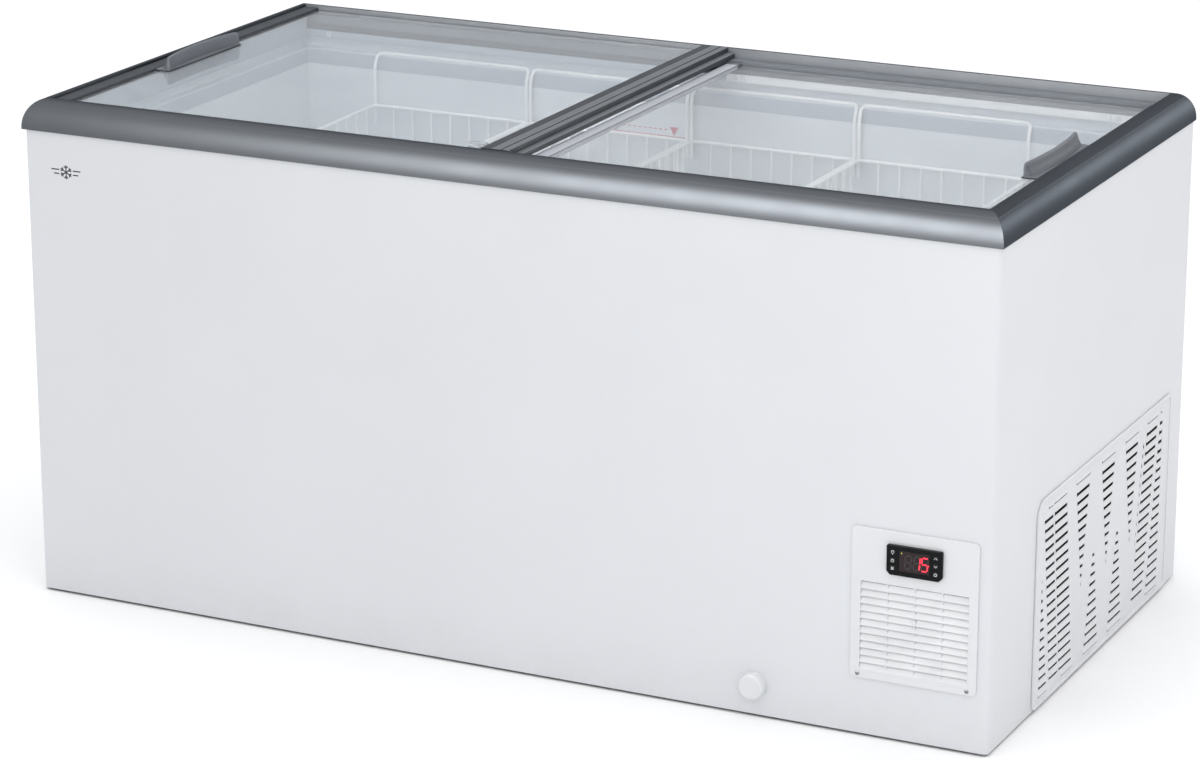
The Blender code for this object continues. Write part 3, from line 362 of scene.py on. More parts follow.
def bar(outline, axis, start, end):
    """A flat outline extruded along an axis: (y, z) points for X, (x, z) for Y, (x, y) for Z."""
    shape = bmesh.new()
    spots = [shape.verts.new(AXIS_POINT[axis](a, b, start)) for a, b in outline]
    face = shape.faces.new(spots)
    grown = bmesh.ops.extrude_face_region(shape, geom=[face])
    move = Vector(AXIS_POINT[axis](0.0, 0.0, end - start))
    far_end = [part for part in grown["geom"] if isinstance(part, bmesh.types.BMVert)]
    bmesh.ops.translate(shape, vec=move, verts=far_end)
    return mesh_of(shape)


def split_at(mesh, x):
    """Adds a cross-section to a mesh at an x."""
    shape = bmesh.new()
    shape.from_mesh(mesh)
    everything = [*shape.verts, *shape.edges, *shape.faces]
    bmesh.ops.bisect_plane(shape, geom=everything, plane_co=(x, 0, 0), plane_no=(1, 0, 0))
    return mesh_of(shape)


def add_spline(curve, points, cyclic):
    spline = curve.splines.new("POLY")
    spline.points.add(len(points) - 1)
    for spot, point in zip(spline.points, points):
        spot.co = (*point, 0.0, 1.0) if len(point) == 2 else (*point, 1.0)
    spline.use_cyclic_u = cyclic


TURNED = {
    "X": Matrix(((0, 0, 1), (1, 0, 0), (0, 1, 0))).to_4x4(),
    "Y": Matrix(((1, 0, 0), (0, 0, -1), (0, 1, 0))).to_4x4(),
}


def plate(outlines, axis, start, end):
    """A flat outline with holes, extruded along X or Y."""
    curve = bpy.data.curves.new("route", "CURVE")
    curve.dimensions = "2D"
    curve.fill_mode = "BOTH"
    curve.extrude = abs(end - start) / 2
    for outline in outlines:
        add_spline(curve, outline, True)
    mesh = settled(bpy.data.objects.new("route", curve))
    along = Vector(AXIS_POINT[axis](0.0, 0.0, (start + end) / 2))
    mesh.transform(Matrix.Translation(along) @ TURNED[axis])
    shape = bmesh.new()
    shape.from_mesh(mesh)
    bmesh.ops.remove_doubles(shape, verts=shape.verts, dist=0.00001)
    bmesh.ops.dissolve_limit(shape, angle_limit=0.0005, verts=shape.verts, edges=shape.edges)
    return mesh_of(shape)


def wires(routes, radius, resolution):
    """Round wires of one thickness: each route is (points, closed)."""
    curve = bpy.data.curves.new("route", "CURVE")
    curve.dimensions = "3D"
    curve.bevel_depth = radius
    curve.bevel_resolution = resolution
    curve.use_fill_caps = True
    for points, closed in routes:
        add_spline(curve, points, closed)
    return settled(bpy.data.objects.new("route", curve))


def aimed(where, direction):
    """The matrix that takes a thing to a place, with its height pointing in a direction."""
    turn = Vector(direction).to_track_quat("Z", "Y").to_matrix().to_4x4()
    return Matrix.Translation(where) @ turn


def turned(profile, where, direction, steps):
    """A profile of (radius, height) points turned about its height, which points in a direction."""
    shape = bmesh.new()
    rings = []
    for radius, height in profile:
        if radius == 0:
            rings.append([shape.verts.new((0, 0, height))])
        else:
            spots = circle((0.0, 0.0), radius, steps)
            rings.append([shape.verts.new((x, y, height)) for x, y in spots])
    for first, second in zip(rings, rings[1:]):
        for step in range(steps):
            after = (step + 1) % steps
            corners = [first[step % len(first)], first[after % len(first)],
                       second[after % len(second)], second[step % len(second)]]
            shape.faces.new(list(dict.fromkeys(corners)))
    bmesh.ops.remove_doubles(shape, verts=shape.verts, dist=0.000001)
    mesh = mesh_of(shape)
    mesh.transform(aimed(where, direction))
    return mesh


def rectangle(low, high):
    return [(low[0], low[1]), (high[0], low[1]), (high[0], high[1]), (low[0], high[1])]


def rounded(low, high, radii, steps=6):
    """A rectangle's outline with a radius for each corner, from the lower left round."""
    points = []
    for turn, (corner, radius) in enumerate(zip(rectangle(low, high), radii)):
        inward = [(1, 1), (-1, 1), (-1, -1), (1, -1)][turn]
        centre = (corner[0] + inward[0] * radius, corner[1] + inward[1] * radius)
        for step in range(steps + 1):
            angle = math.pi + turn * math.pi / 2 + step / steps * math.pi / 2
            points.append((centre[0] + radius * math.cos(angle),
                           centre[1] + radius * math.sin(angle)))
    return points


def circle(centre, radius, sides):
    angles = [2 * math.pi * side / sides for side in range(sides)]
    return [(centre[0] + radius * math.cos(a), centre[1] + radius * math.sin(a)) for a in angles]


def arc_points(centre, radius, start, end, steps=14):
    """Points of a circular arc between two angles in degrees."""
    angles = [math.radians(start + (end - start) * step / steps) for step in range(steps + 1)]
    return [(centre[0] + radius * math.cos(a), centre[1] + radius * math.sin(a)) for a in angles]


def filleted(points, radius, steps=5):
    """A route with its inner corners rounded to a radius."""
    points = [Vector(p) for p in points]
    made = [points[0]]
    for before, corner, after in zip(points, points[1:], points[2:]):
        back, on = (before - corner).normalized(), (after - corner).normalized()
        reach = min(radius, (before - corner).length / 2, (after - corner).length / 2)
        start, end = corner + back * reach, corner + on * reach
        for step in range(steps + 1):
            t = step / steps
            made.append(start * (1 - t) ** 2 + corner * 2 * t * (1 - t) + end * t ** 2)
    made.append(points[-1])
    return [tuple(p) for p in made]


def piece(name, mesh, looks, replaces=(), body="cabinet", smooth=35):
    """A finished piece: mesh, finishes, material slot, the CAD nodes it stands for, and body."""
    made = bpy.data.objects.new(name, mesh)
    mesh.name = name
    scene.collection.objects.link(made)
    for finish_of in looks if isinstance(looks, list) else [looks]:
        mesh.materials.append(finish_of)
    mesh.shade_smooth()
    mesh.set_sharp_from_angle(angle=math.radians(smooth))
    step = made.modifiers.new("normals", "WEIGHTED_NORMAL")
    step.keep_sharp = True
    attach(made, body)
    if replaces:
        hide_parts(*replaces)
    return made


def paint(mesh, number, test):
    """Gives the faces that pass a test of their middle and direction a material number."""
    for face in mesh.polygons:
        if test(face.center, face.normal):
            face.material_index = number
    return mesh


# ---------------------------------------------------------------- cabinet

rim_low, rim_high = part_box("rim_front")
wrap_low, wrap_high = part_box("outer_wrap")
RIM_TOP = rim_high.z
RIM_FOOT = rim_low.z
RIM_WIDTH = rim_high.y - rim_low.y
HALF_X, HALF_Y = rim_high.x, -rim_low.y


def make_wrap():
    """Front and both sides from one sheet, with its front vent, controller and side vent openings."""
    x, y = wrap_high.x, -wrap_low.y
    back = wrap_high.y
    outer = rounded((-x, -y), (x, back), (CASE_CORNER, CASE_CORNER, 0.0, 0.0), steps=10)[:22]
    inner = rounded((-x + SHEET, -y + SHEET), (x - SHEET, back),
                    (CASE_CORNER - SHEET, CASE_CORNER - SHEET, 0.0, 0.0), steps=10)[:22]
    outline = [(-x, back), *outer, (x, back), (x - SHEET, back), *inner[::-1], (-x + SHEET, back)]
    wrap = bar(outline, "Z", wrap_low.z, wrap_high.z)
    vent_low, vent_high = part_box("front_vent_panel")
    control_low, control_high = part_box("controller_housing")
    side_low, side_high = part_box("side_vent_panel")
    inset, reach = 0.014, 0.01
    openings = boxes([
        ((vent_low.x + inset, -y - reach, vent_low.z + inset),
         (vent_high.x - inset, -y + reach, control_low.z - 0.012)),
        ((control_low.x + 0.006, -y - reach, control_low.z + 0.004),
         (control_high.x - 0.006, -y + reach, control_high.z - 0.004)),
        ((x - reach, side_low.y + inset, side_low.z + 0.020),
         (x + reach, side_high.y - inset, side_high.z - 0.010)),
    ])
    piece("cabinet_wrap", cut(wrap, openings), CASE, ["outer_wrap"], smooth=30)


def mitred(profile, half_length, offset, quarter_turns):
    """One side of a mitred frame: (inward, z) points swept along its side, cut at 45 degrees."""
    shape = bmesh.new()
    start = [
        shape.verts.new((inward + MITRE_TRIM - half_length, inward - offset, height))
        for inward, height in profile
    ]
    face = shape.faces.new(start)
    grown = bmesh.ops.extrude_face_region(shape, geom=[face])
    for vert in grown["geom"]:
        if isinstance(vert, bmesh.types.BMVert):
            vert.co.x = -vert.co.x
    mesh = mesh_of(shape)
    mesh.transform(Matrix.Rotation(quarter_turns * math.pi / 2, 4, "Z"))
    return mesh


SIDES = {
    "front": (0, HALF_X, HALF_Y),
    "right": (1, HALF_Y, HALF_X),
    "rear": (2, HALF_X, HALF_Y),
    "left": (3, HALF_Y, HALF_X),
}


def curve_height(inward):
    """The rim's upper surface: an elliptical quarter from its shoulder to its flat top."""
    t = min(1.0, inward / RIM_CURVE)
    return RIM_SHOULDER + (RIM_TOP - RIM_SHOULDER) * math.sqrt(1 - (1 - t) ** 2)


def make_rims():
    steps = 26
    arc = [RIM_CURVE * (1 - math.cos(math.pi / 2 * step / steps)) for step in range(steps + 1)]
    groove, deep = 0.0006, 0.00035
    arc = [spot for spot in arc if abs(spot - RIM_CREASE) > 1.5 * groove]
    curve = [(spot, curve_height(spot)) for spot in arc]
    crease = [
        (RIM_CREASE - groove, curve_height(RIM_CREASE - groove)),
        (RIM_CREASE, curve_height(RIM_CREASE) - deep),
        (RIM_CREASE + groove, curve_height(RIM_CREASE + groove)),
    ]
    curve = sorted(curve + crease)
    edge = 0.0006
    profile = [
        (edge, RIM_FOOT), (0.0, RIM_FOOT + edge), *curve,
        (RIM_WIDTH - edge, RIM_TOP), (RIM_WIDTH, RIM_TOP - edge),
        (RIM_WIDTH, RIM_SEAT), (RIM_LIP, RIM_SEAT), (RIM_LIP, RIM_FOOT),
    ]
    for side, (turns, half_length, offset) in SIDES.items():
        mesh = mitred(profile, half_length, offset, turns)
        inward = Matrix.Rotation(turns * math.pi / 2, 3, "Z") @ Vector((0, 1, 0))
        # The front and rear rims' inner upright faces take the lighter copy: painted light
        if side in ("front", "rear"):
            paint(mesh, 1, lambda spot, way: way.dot(inward) > 0.95 and spot.z > RIM_SEAT + 0.003)
        looks = [RIM, RIM_INNER_PAINTED_LIT]
        piece(f"{side}_rim_profile", mesh, looks, [f"rim_{side}"], smooth=24)


def make_tracks():
    """Stepped lid tracks with runner grooves in their ledges."""
    low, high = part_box("track_rear")
    foot, upper = low.z, high.z
    groove, deep = 0.0016, 0.0014

    def grooved(start, end, height, spots):
        points = [(start, height)]
        for spot in spots:
            points += [(spot - groove / 2, height), (spot - groove / 2, height - deep),
                       (spot + groove / 2, height - deep), (spot + groove / 2, height)]
        return points + [(end, height)]

    ledge = grooved(LOWER_WALL_Y + 0.0008, UPPER_WALL_Y, LOWER_LEDGE, (0.3860, 0.3965))
    upper_ledge = grooved(UPPER_WALL_Y, high.y, upper, (0.4075, 0.4185))
    split, notch = BAND_TOP, 0.0007
    outline = [
        (high.y, foot), (LOWER_WALL_Y, foot), (LOWER_WALL_Y, split - notch),
        (LOWER_WALL_Y + notch, split), (LOWER_WALL_Y, split + notch),
        (LOWER_WALL_Y, LOWER_LEDGE - 0.0008), *ledge, *upper_ledge,
    ]
    for side, sign in (("front", -1), ("rear", 1)):
        points = [(sign * y, z) for y, z in dict.fromkeys(outline)]
        mesh = split_at(bar(points, "X", low.x, high.x), BAND_PAINTED_SHADE_END_X)
        # The lower ledge and the wall below it are painted darker: painted shade under the lids
        paint(mesh, 3, lambda spot, way: (abs(spot.y) < UPPER_WALL_Y - 0.0005
                                          and spot.z > split - notch))
        # The bottoms of the runner grooves are painted near-black: painted shade
        for level in (LOWER_LEDGE, upper):
            paint(mesh, 1, lambda spot, way: level - 1.1 * deep < spot.z < level - 0.4 * deep)
        # Below the band's top the wall takes the collar grey, and only further right the white band:
        # the grey left part is painted shade under the upper lid
        paint(mesh, 4, lambda spot, way: spot.z < split and abs(spot.y) < LOWER_WALL_Y + notch)
        paint(mesh, 2, lambda spot, way: (spot.x > BAND_PAINTED_SHADE_END_X and spot.z < split
                                          and abs(spot.y) < LOWER_WALL_Y + notch))
        looks = [TRACK, TRACK_GROOVE_PAINTED_SHADE, BAND, TRACK_LEDGE_PAINTED_SHADE, COLLAR_SHADE_AND_JOINT_GREY]
        piece(f"{side}_lid_track", mesh, looks, [f"track_{side}"])


def make_collars():
    """The collar under the tracks: an upright, the shoulder for the basket hangers, and a skirt."""
    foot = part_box("collar_front")[0].z
    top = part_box("track_front")[0].z - GLASS_GAP
    deep = SHOULDER_DEEP + COLLAR_WALL
    inner_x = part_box("liner_right")[0].x
    inner_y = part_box("liner_rear")[0].y
    soft = 0.003
    profile = [
        (deep, foot), (deep, SHOULDER_Z - soft), (deep - soft * 0.3, SHOULDER_Z - soft * 0.3),
        (deep - soft, SHOULDER_Z), (COLLAR_WALL + 0.001, SHOULDER_Z),
        (COLLAR_WALL, SHOULDER_Z + 0.001), (COLLAR_WALL, SHOULDER_Z + 0.0030),
        (COLLAR_WALL - 0.0006, SHOULDER_Z + 0.0034), (COLLAR_WALL - 0.0006, top - 0.0006),
        (COLLAR_WALL - 0.0012, top), (0.0, top),
        (0.0, SHOULDER_Z - COLLAR_WALL), (SHOULDER_DEEP, SHOULDER_Z - COLLAR_WALL - soft),
        (SHOULDER_DEEP, foot),
    ]
    sizes = {"front": (inner_x + deep, inner_y + deep), "right": (inner_y + deep, inner_x + deep)}
    sizes["rear"], sizes["left"] = sizes["front"], sizes["right"]
    for side, (turns, _, _) in SIDES.items():
        mesh = mitred(profile, *sizes[side], turns)
        # The collar's upper part and shoulder take the lighter grey and the rest the darker grey:
        # painted light and painted shade
        paint(mesh, 1, lambda spot, way: spot.z > SHOULDER_Z - 0.0028)
        looks = [COLLAR_SHADE_AND_JOINT_GREY, COLLAR_PAINTED_LIT]
        piece(f"{side}_collar_bar", mesh, looks, [f"collar_{side}"])

    reach = LOWER_WALL_Y - GLASS_GAP
    well_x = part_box("track_front")[1].x
    for side, sign in (("left", -1), ("right", 1)):
        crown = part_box(f"lid_{side}_end_profile")[0].z - 0.001
        foot, soft, groove = top - 0.0015, 0.0008, 0.0015
        outline = [(sign * x, z) for x, z in (
            (SILL_IN_X, foot), (SILL_IN_X, crown - soft), (SILL_IN_X + soft, crown),
            (SILL_IN_X + 0.009, crown), (SILL_IN_X + 0.009, crown - groove),
            (SILL_IN_X + 0.0105, crown - groove), (SILL_IN_X + 0.0105, crown),
            (well_x, crown), (well_x, foot),
        )]
        mesh = bar(outline, "Y", -reach, reach)
        piece(f"{side}_sill_bar", mesh, SILL)


PLUGS_X = (-0.760, 0.056, 0.760)
JOINTS_X = (-0.746, 0.069, 0.0735, 0.746)
JOINT_HALF = 0.0006


def make_band_plugs():
    """Round plugs and joint strips on the white band of the tracks."""
    radius, proud = 0.0050, 0.0003
    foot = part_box("track_rear")[0].z
    height = (foot + BAND_TOP) / 2
    profile = [(0.0, proud), (radius * 0.45, proud), (radius * 0.55, proud * 0.5),
               (radius * 0.8, proud * 0.5), (radius * 0.92, proud * 0.9), (radius, 0.0), (0.0, 0.0)]
    rings, joints = [], []
    for sign in (-1, 1):
        for x in PLUGS_X:
            spot = (x, sign * LOWER_WALL_Y, height)
            rings.append((0, turned(profile, spot, (0, -sign, 0), 32)))
        near, far = sorted((sign * (LOWER_WALL_Y - 0.0005), sign * (LOWER_WALL_Y + 0.0008)))
        for x in JOINTS_X:
            joints.append(((x - JOINT_HALF, near, foot + 0.0008),
                           (x + JOINT_HALF, far, BAND_TOP - 0.0010)))
    piece("band_plugs", joined(rings), PLASTIC)
    piece("band_joints", bevelled(boxes(joints), 0.0002), COLLAR_SHADE_AND_JOINT_GREY)


# ---------------------------------------------------------------- lids

def lid_channel(low, high, side, glass_thick):
    """An end profile as (x, z) points, open towards the glass; side is -1 on the left lid."""
    foot = low.z
    outside = low.x if side < 0 else high.x
    mouth = outside - side * LID_BAR
    slot = glass_thick + 2 * GLASS_GAP
    top = high.z
    back = outside - side * 0.003
    lip = foot + LID_FOOT_LIP
    soft, small = 0.0016, 0.0006
    return [
        (outside, foot + small), (outside - side * small, foot),
        (mouth + side * small, foot), (mouth, foot + small),
        (mouth, lip), (back, lip), (back, lip + slot), (mouth, lip + slot),
        (mouth, top - soft * 1.4),
        (mouth + side * soft * 0.5, top - soft * 0.5), (mouth + side * soft * 1.4, top),
        (outside - side * soft, top), (outside - side * soft * 0.3, top - soft * 0.3),
        (outside, top - soft),
    ]


def make_pane_and_end(lid, side, look_of):
    """A lid's pane, with a dark seal on its front and rear edges, and its end profile."""
    body, end_node = f"lid_{lid}", f"lid_{lid}_end_profile"
    low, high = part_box(f"lid_{lid}_glass")
    mesh = bevelled(boxes([(low, high)]), 0.0006, 2)
    paint(mesh, 1, lambda spot, way: abs(way.y) > 0.5)
    looks = [look_of, FRAME]
    pane = piece(f"{lid}_glass_pane", mesh, looks, [f"lid_{lid}_glass"], body=body)
    pane.visible_shadow = False
    end = bar(lid_channel(*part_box(end_node), side, high.z - low.z), "Y", -high.y, high.y)
    piece(f"{lid}_end_frame", end, FRAME, [end_node], body=body)
    return low, high


def make_handle(lid, side):
    """A bowed fin with a hollow outer foot, on a flat flange with a black gasket under it."""
    low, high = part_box(f"lid_{lid}_handle")
    middle = (low.y + high.y) / 2
    seat, crown = low.z, high.z
    gasket_top, flange_top = seat + 0.0016, seat + 0.0032
    inner = high.x if side < 0 else low.x
    outer = low.x if side < 0 else high.x

    def flange(inset, start, end):
        near, far = sorted((inner + side * inset, outer))
        outline = rounded((near, low.y + inset), (far, high.y - inset), (0.0022,) * 4)
        return bar(outline, "Z", start, end)

    gasket = flange(0.0, seat, gasket_top)
    base = bevelled(flange(0.0010, gasket_top, flange_top), 0.0005)

    half_long, bow, thick = (high.y - low.y) / 2 - 0.0035, 0.0105, 0.0046
    end_round, corner_round = 0.0042, 0.0080
    set_in, lean_back, foot_wide = 0.0056, 0.0012, 0.0062
    tall = crown - flange_top
    stations, around = 64, 24
    shape = bmesh.new()
    rings = []
    for station in range(stations + 1):
        t = -math.cos(math.pi * station / stations)
        from_end = (1 - abs(t)) * half_long
        end_share = math.sqrt(max(0.0, 1 - max(0.0, 1 - from_end / end_round) ** 2))
        drop = 1 - math.sqrt(max(0.0, 1 - max(0.0, 1 - from_end / corner_round) ** 2))
        top = tall * (0.94 + 0.06 * (1 - t * t)) - corner_round * drop
        ring = []
        for step in range(around + 1):
            angle = math.pi * step / around
            across = -math.cos(angle)
            height = top * math.sin(angle) ** 0.42
            share = height / tall
            foot = foot_wide * (1 - min(1.0, share / 0.85)) ** 2
            width = (thick * (1 - 0.20 * share) + foot * (across > 0)) * max(0.04, end_share)
            lean = bow * (1 - t * t) - lean_back * share
            x = inner + side * (set_in + lean + width * math.copysign(abs(across) ** 0.55, across))
            ring.append(shape.verts.new((x, middle + t * half_long, flange_top - 0.0002 + height)))
        rings.append(ring)
    for first, second in zip(rings, rings[1:]):
        for index in range(around + 1):
            after = (index + 1) % (around + 1)
            shape.faces.new((first[index], first[after], second[after], second[index]))
    shape.faces.new(rings[0][::-1])
    shape.faces.new(rings[-1])
    fin = mesh_of(shape)
    mesh = joined([(0, fin), (0, base), (1, gasket)])
    piece(f"{lid}_lid_handle", mesh, [HANDLE, GASKET], [f"lid_{lid}_handle"],
          body=f"lid_{lid}", smooth=50)


def make_left_lid():
    """Upper lid: pane, end profile, stepped lap profile, handle and stop disc."""
    glass_low, glass_high = make_pane_and_end("left", -1, GLASS_LEFT)
    half = glass_high.y
    low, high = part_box("lid_left_lap_profile")
    left, right, top = low.x, high.x, high.z
    wall = left + 0.050
    step_top = low.z + 0.0085
    back = glass_high.x + GLASS_GAP
    outline = [
        (left, low.z), (right - 0.0006, low.z), (right, low.z + 0.0006), (right, step_top - 0.003),
        (right - 0.0006, step_top - 0.0010), (right - 0.0022, step_top), (wall, step_top),
        (wall, top - 0.0022), (wall - 0.0006, top - 0.0006), (wall - 0.0022, top),
        (wall - 0.0115, top), (wall - 0.0120, top - 0.0014),
        (wall - 0.0140, top - 0.0014), (wall - 0.0145, top),
        (left + 0.0190, top), (left + 0.0184, top - 0.0006), (left + 0.0176, top - 0.0006),
        (left + 0.0170, top), (left + 0.0030, top), (left + 0.0009, top - 0.0009),
        (left, top - 0.0030),
        (left, glass_high.z + GLASS_GAP), (back, glass_high.z + GLASS_GAP),
        (back, glass_low.z - GLASS_GAP), (left, glass_low.z - GLASS_GAP),
    ]
    lap = bar(outline, "Y", -half, half)
    paint(lap, 1, lambda spot, way: (left + 0.0185 < spot.x < wall - 0.0005
                                     and spot.z > top - 0.0005))
    paint(lap, 1, lambda spot, way: way.z > 0.5 and wall < spot.x < right - 0.001)
    looks = [FRAME, FRAME_LIGHT]
    piece("left_lap_frame", lap, looks, ["lid_left_lap_profile"], body="lid_left")
    make_handle("left", -1)

    low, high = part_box("lid_left_stop_disc")
    centre = (low + high) / 2
    radius, tall = (high.x - low.x) / 2, high.z - low.z
    profile = [
        (0.0, tall * 0.72), (radius * 0.74, tall * 0.72), (radius * 0.80, tall),
        (radius * 0.90, tall), (radius * 0.97, tall * 0.86), (radius, tall * 0.6), (radius, 0.0),
        (0.0, 0.0),
    ]
    disc = turned(profile, (centre.x, centre.y, low.z), (0, 0, 1), 64)
    piece("left_stop_disc", disc, CLEAR, ["lid_left_stop_disc"], body="lid_left")


def make_right_lid():
    """Lower lid: pane, end profile, clear lap profile with dark end blocks, and handle."""
    glass_low, glass_high = make_pane_and_end("right", 1, GLASS_RIGHT)
    half = glass_high.y
    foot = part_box("lid_right_end_profile")[0].z
    low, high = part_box("lid_right_lap_profile")
    left, mouth, top = low.x, high.x, high.z
    back = glass_low.x - GLASS_GAP
    block = 0.016
    outline = [
        (left, foot), (mouth, foot), (mouth, glass_low.z - GLASS_GAP),
        (back, glass_low.z - GLASS_GAP), (back, glass_high.z + GLASS_GAP),
        (mouth, glass_high.z + GLASS_GAP), (mouth, top - 0.0012), (mouth - 0.0012, top),
        (left + 0.0102, top), (left + 0.0096, top - 0.0010), (left + 0.0084, top - 0.0010),
        (left + 0.0078, top), (left + 0.0012, top), (left, top - 0.0012),
    ]
    lap = bar(outline, "Y", -half + block, half - block)
    flap_reach = LOWER_WALL_Y - 0.002
    flap = boxes([((left + 0.001, -flap_reach, low.z), (left + 0.0035, flap_reach, foot + 0.0006))])
    lap = joined([(0, lap), (1, bevelled(flap, 0.0005))])
    looks, replaced = [STRIP, CLEAR_STRIP], ["lid_right_lap_profile"]
    strip = piece("right_lap_strip", lap, looks, replaced, body="lid_right")
    strip.visible_shadow = False
    edge_size, reach = 0.0011, half - block
    seals = boxes([
        ((left + 0.0002, -reach, top - 0.0004), (left + 0.0002 + edge_size, reach, top + 0.0003)),
        ((mouth - edge_size, -reach, top - 0.0016), (mouth + 0.0003, reach, top - 0.0008)),
        ((left + 0.0010, -flap_reach, low.z - 0.0002), (left + 0.0036, flap_reach, low.z + 0.0010)),
    ])
    piece("right_lap_seals", bevelled(seals, 0.0002), FRAME, body="lid_right")
    blocks = []
    for sign in (-1, 1):
        near, far = sorted((sign * half, sign * (half - block + 0.0002)))
        blocks.append((0, bevelled(bar(outline, "Y", near, far), 0.0004)))
    mesh = joined(blocks)
    piece("right_lap_end_blocks", mesh, FRAME_LIGHT, body="lid_right")
    make_handle("right", 1)


# ---------------------------------------------------------------- baskets

def basket_routes(low, high, floor, rim):
    """The wires of one basket: front-to-rear and end-to-end hoops, and its level rings."""
    side_x, side_y = (high.x - low.x) / 2 - BASKET_RIM_WIRE, (high.y - low.y) / 2 - BASKET_RIM_WIRE
    centre = (low + high) / 2
    thin = []
    for reach, other, across in ((side_y, side_x, False), (side_x, side_y, True)):
        count = max(2, round(2 * other / BASKET_GRID))
        for number in range(1, count):
            place = -other + 2 * other * number / count
            drop = [(-reach, rim), (-reach, floor), (reach, floor), (reach, rim)]
            lift = BASKET_WIRE * (2 if across else 0)
            route = []
            for along, height in drop:
                height = height + lift if height == floor else height
                inner = along - math.copysign(BASKET_WIRE, along)
                spot = (inner, place) if across else (place, inner)
                route.append((centre.x + spot[0], centre.y + spot[1], height))
            thin.append((filleted(route, 0.014), False))

    def ring_inset(inset):
        reach_x, reach_y = side_x - inset, side_y - inset
        return rounded((centre.x - reach_x, centre.y - reach_y),
                       (centre.x + reach_x, centre.y + reach_y), (0.012,) * 4)

    thin.append(([(x, y, floor + 0.085) for x, y in ring_inset(0.002)], True))
    return thin, [([(x, y, rim) for x, y in ring_inset(0.0)], True)]


def make_basket(number):
    name = f"basket_{number}"
    low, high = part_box(name)
    body_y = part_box("liner_rear")[0].y - 0.0065
    bar_y = high.y - BASKET_RIM_WIRE
    bar_z = high.z - BASKET_RIM_WIRE
    floor, rim = low.z + 0.003, BASKET_RIM_Z - BASKET_RIM_WIRE
    tray = (Vector((low.x, -body_y, low.z)), Vector((high.x, body_y, high.z)))
    thin, thick = basket_routes(*tray, floor, rim)
    left, right = low.x + HANGER_WIRE + 0.0004, high.x - HANGER_WIRE - 0.0004
    foot, bend = rim - 0.030, 0.015
    hangers = []
    for side in (-1, 1):
        leg_y = side * (body_y - BASKET_RIM_WIRE)
        route = [
            (left, leg_y, foot), (left, leg_y, bar_z - 0.020), (left, side * bar_y, bar_z),
            (right, side * bar_y, bar_z), (right, leg_y, bar_z - 0.020), (right, leg_y, foot),
        ]
        hangers.append((filleted(route, bend, 6), False))
    mesh = joined([
        (0, wires(thin, BASKET_WIRE, 2)),
        (0, wires(thick, BASKET_RIM_WIRE, 3)),
        (0, wires(hangers, HANGER_WIRE, 3)),
    ])
    piece(f"wire_basket_{number}", mesh, WIRE, [name], body=name, smooth=60)


# ---------------------------------------------------------------- front vent and controller

VENT_ROWS = 12
VENT_PITCH = 0.0122
VENT_TOP_ROW = 0.2575
VENT_SLOTS_X = (0.652, 0.831)
VENT_COLUMNS = 4
VENT_RIB = 0.0026


def make_front_vent():
    """White panel with four columns of sloped louvres behind three ribs."""
    low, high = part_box("front_vent_panel")
    face, back = low.y, high.y
    control_low, control_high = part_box("controller_housing")
    outline = rounded((low.x, low.z), (high.x, high.z), (0.008,) * 4)
    grille_foot = VENT_TOP_ROW - VENT_ROWS * VENT_PITCH + 0.0016
    openings = [rectangle((VENT_SLOTS_X[0], grille_foot), (VENT_SLOTS_X[1], VENT_TOP_ROW + 0.0012))]
    span = VENT_SLOTS_X[1] - VENT_SLOTS_X[0]
    wide = (span - (VENT_COLUMNS - 1) * VENT_RIB) / VENT_COLUMNS
    ribs = []
    for column in range(1, VENT_COLUMNS):
        left = VENT_SLOTS_X[0] + column * (wide + VENT_RIB) - VENT_RIB
        ribs.append(((left, face + 0.0017, grille_foot - 0.0006),
                     (left + VENT_RIB, back, VENT_TOP_ROW + 0.0018)))
    openings.append(rectangle((control_low.x + 0.0042, control_low.z + 0.0037),
                              (control_high.x - 0.0042, control_high.z - 0.0037)))
    panel = bevelled(plate([outline, *openings], "Y", face, back), 0.0007, 2)
    slats = []
    for row in range(VENT_ROWS):
        top = VENT_TOP_ROW - 0.0008 - row * VENT_PITCH
        lip_foot = top - VENT_PITCH + 0.0012
        slat = [
            (face + 0.0046, top), (face + 0.0058, top - 0.0006), (face + 0.0018, lip_foot),
            (face + 0.0010, lip_foot - 0.0003), (face + 0.0005, lip_foot + 0.0003),
            (face + 0.0005, lip_foot + 0.0014),
        ]
        # The slats take the darker copy of the white plastic: painted shade
        slats.append((1, bar(slat, "X", VENT_SLOTS_X[0] - 0.0006, VENT_SLOTS_X[1] + 0.0006)))
    boss_x = VENT_SLOTS_X[0] + 2 * wide + 1.5 * VENT_RIB
    boss_z = VENT_TOP_ROW - 4.5 * VENT_PITCH
    profile = [(0.0, 0.0002), (0.0034, 0.0002), (0.0040, -0.0006), (0.0040, -0.0035),
               (0.0, -0.0035)]
    boss = turned(profile, (boss_x, face, boss_z), (0, -1, 0), 32)
    rib_mesh = bevelled(boxes(ribs), 0.0003)
    mesh = joined([(0, panel), *slats, (0, rib_mesh), (0, boss)])
    looks, replaced = [PLASTIC, SLAT_PAINTED_SHADE], ["front_vent_panel"]
    piece("front_louvre_panel", mesh, looks, replaced, smooth=30)
    # A black sheet behind the louvres: painted shade for the dark cavity behind the vent
    dark = boxes([((VENT_SLOTS_X[0] - 0.003, back + 0.0095, grille_foot - 0.003),
                   (VENT_SLOTS_X[1] + 0.003, back + 0.0110, VENT_TOP_ROW + 0.004))])
    piece("front_vent_shade_sheet", bevelled(dark, 0.0004), BLACK)


SCREW_TURN = 0.35


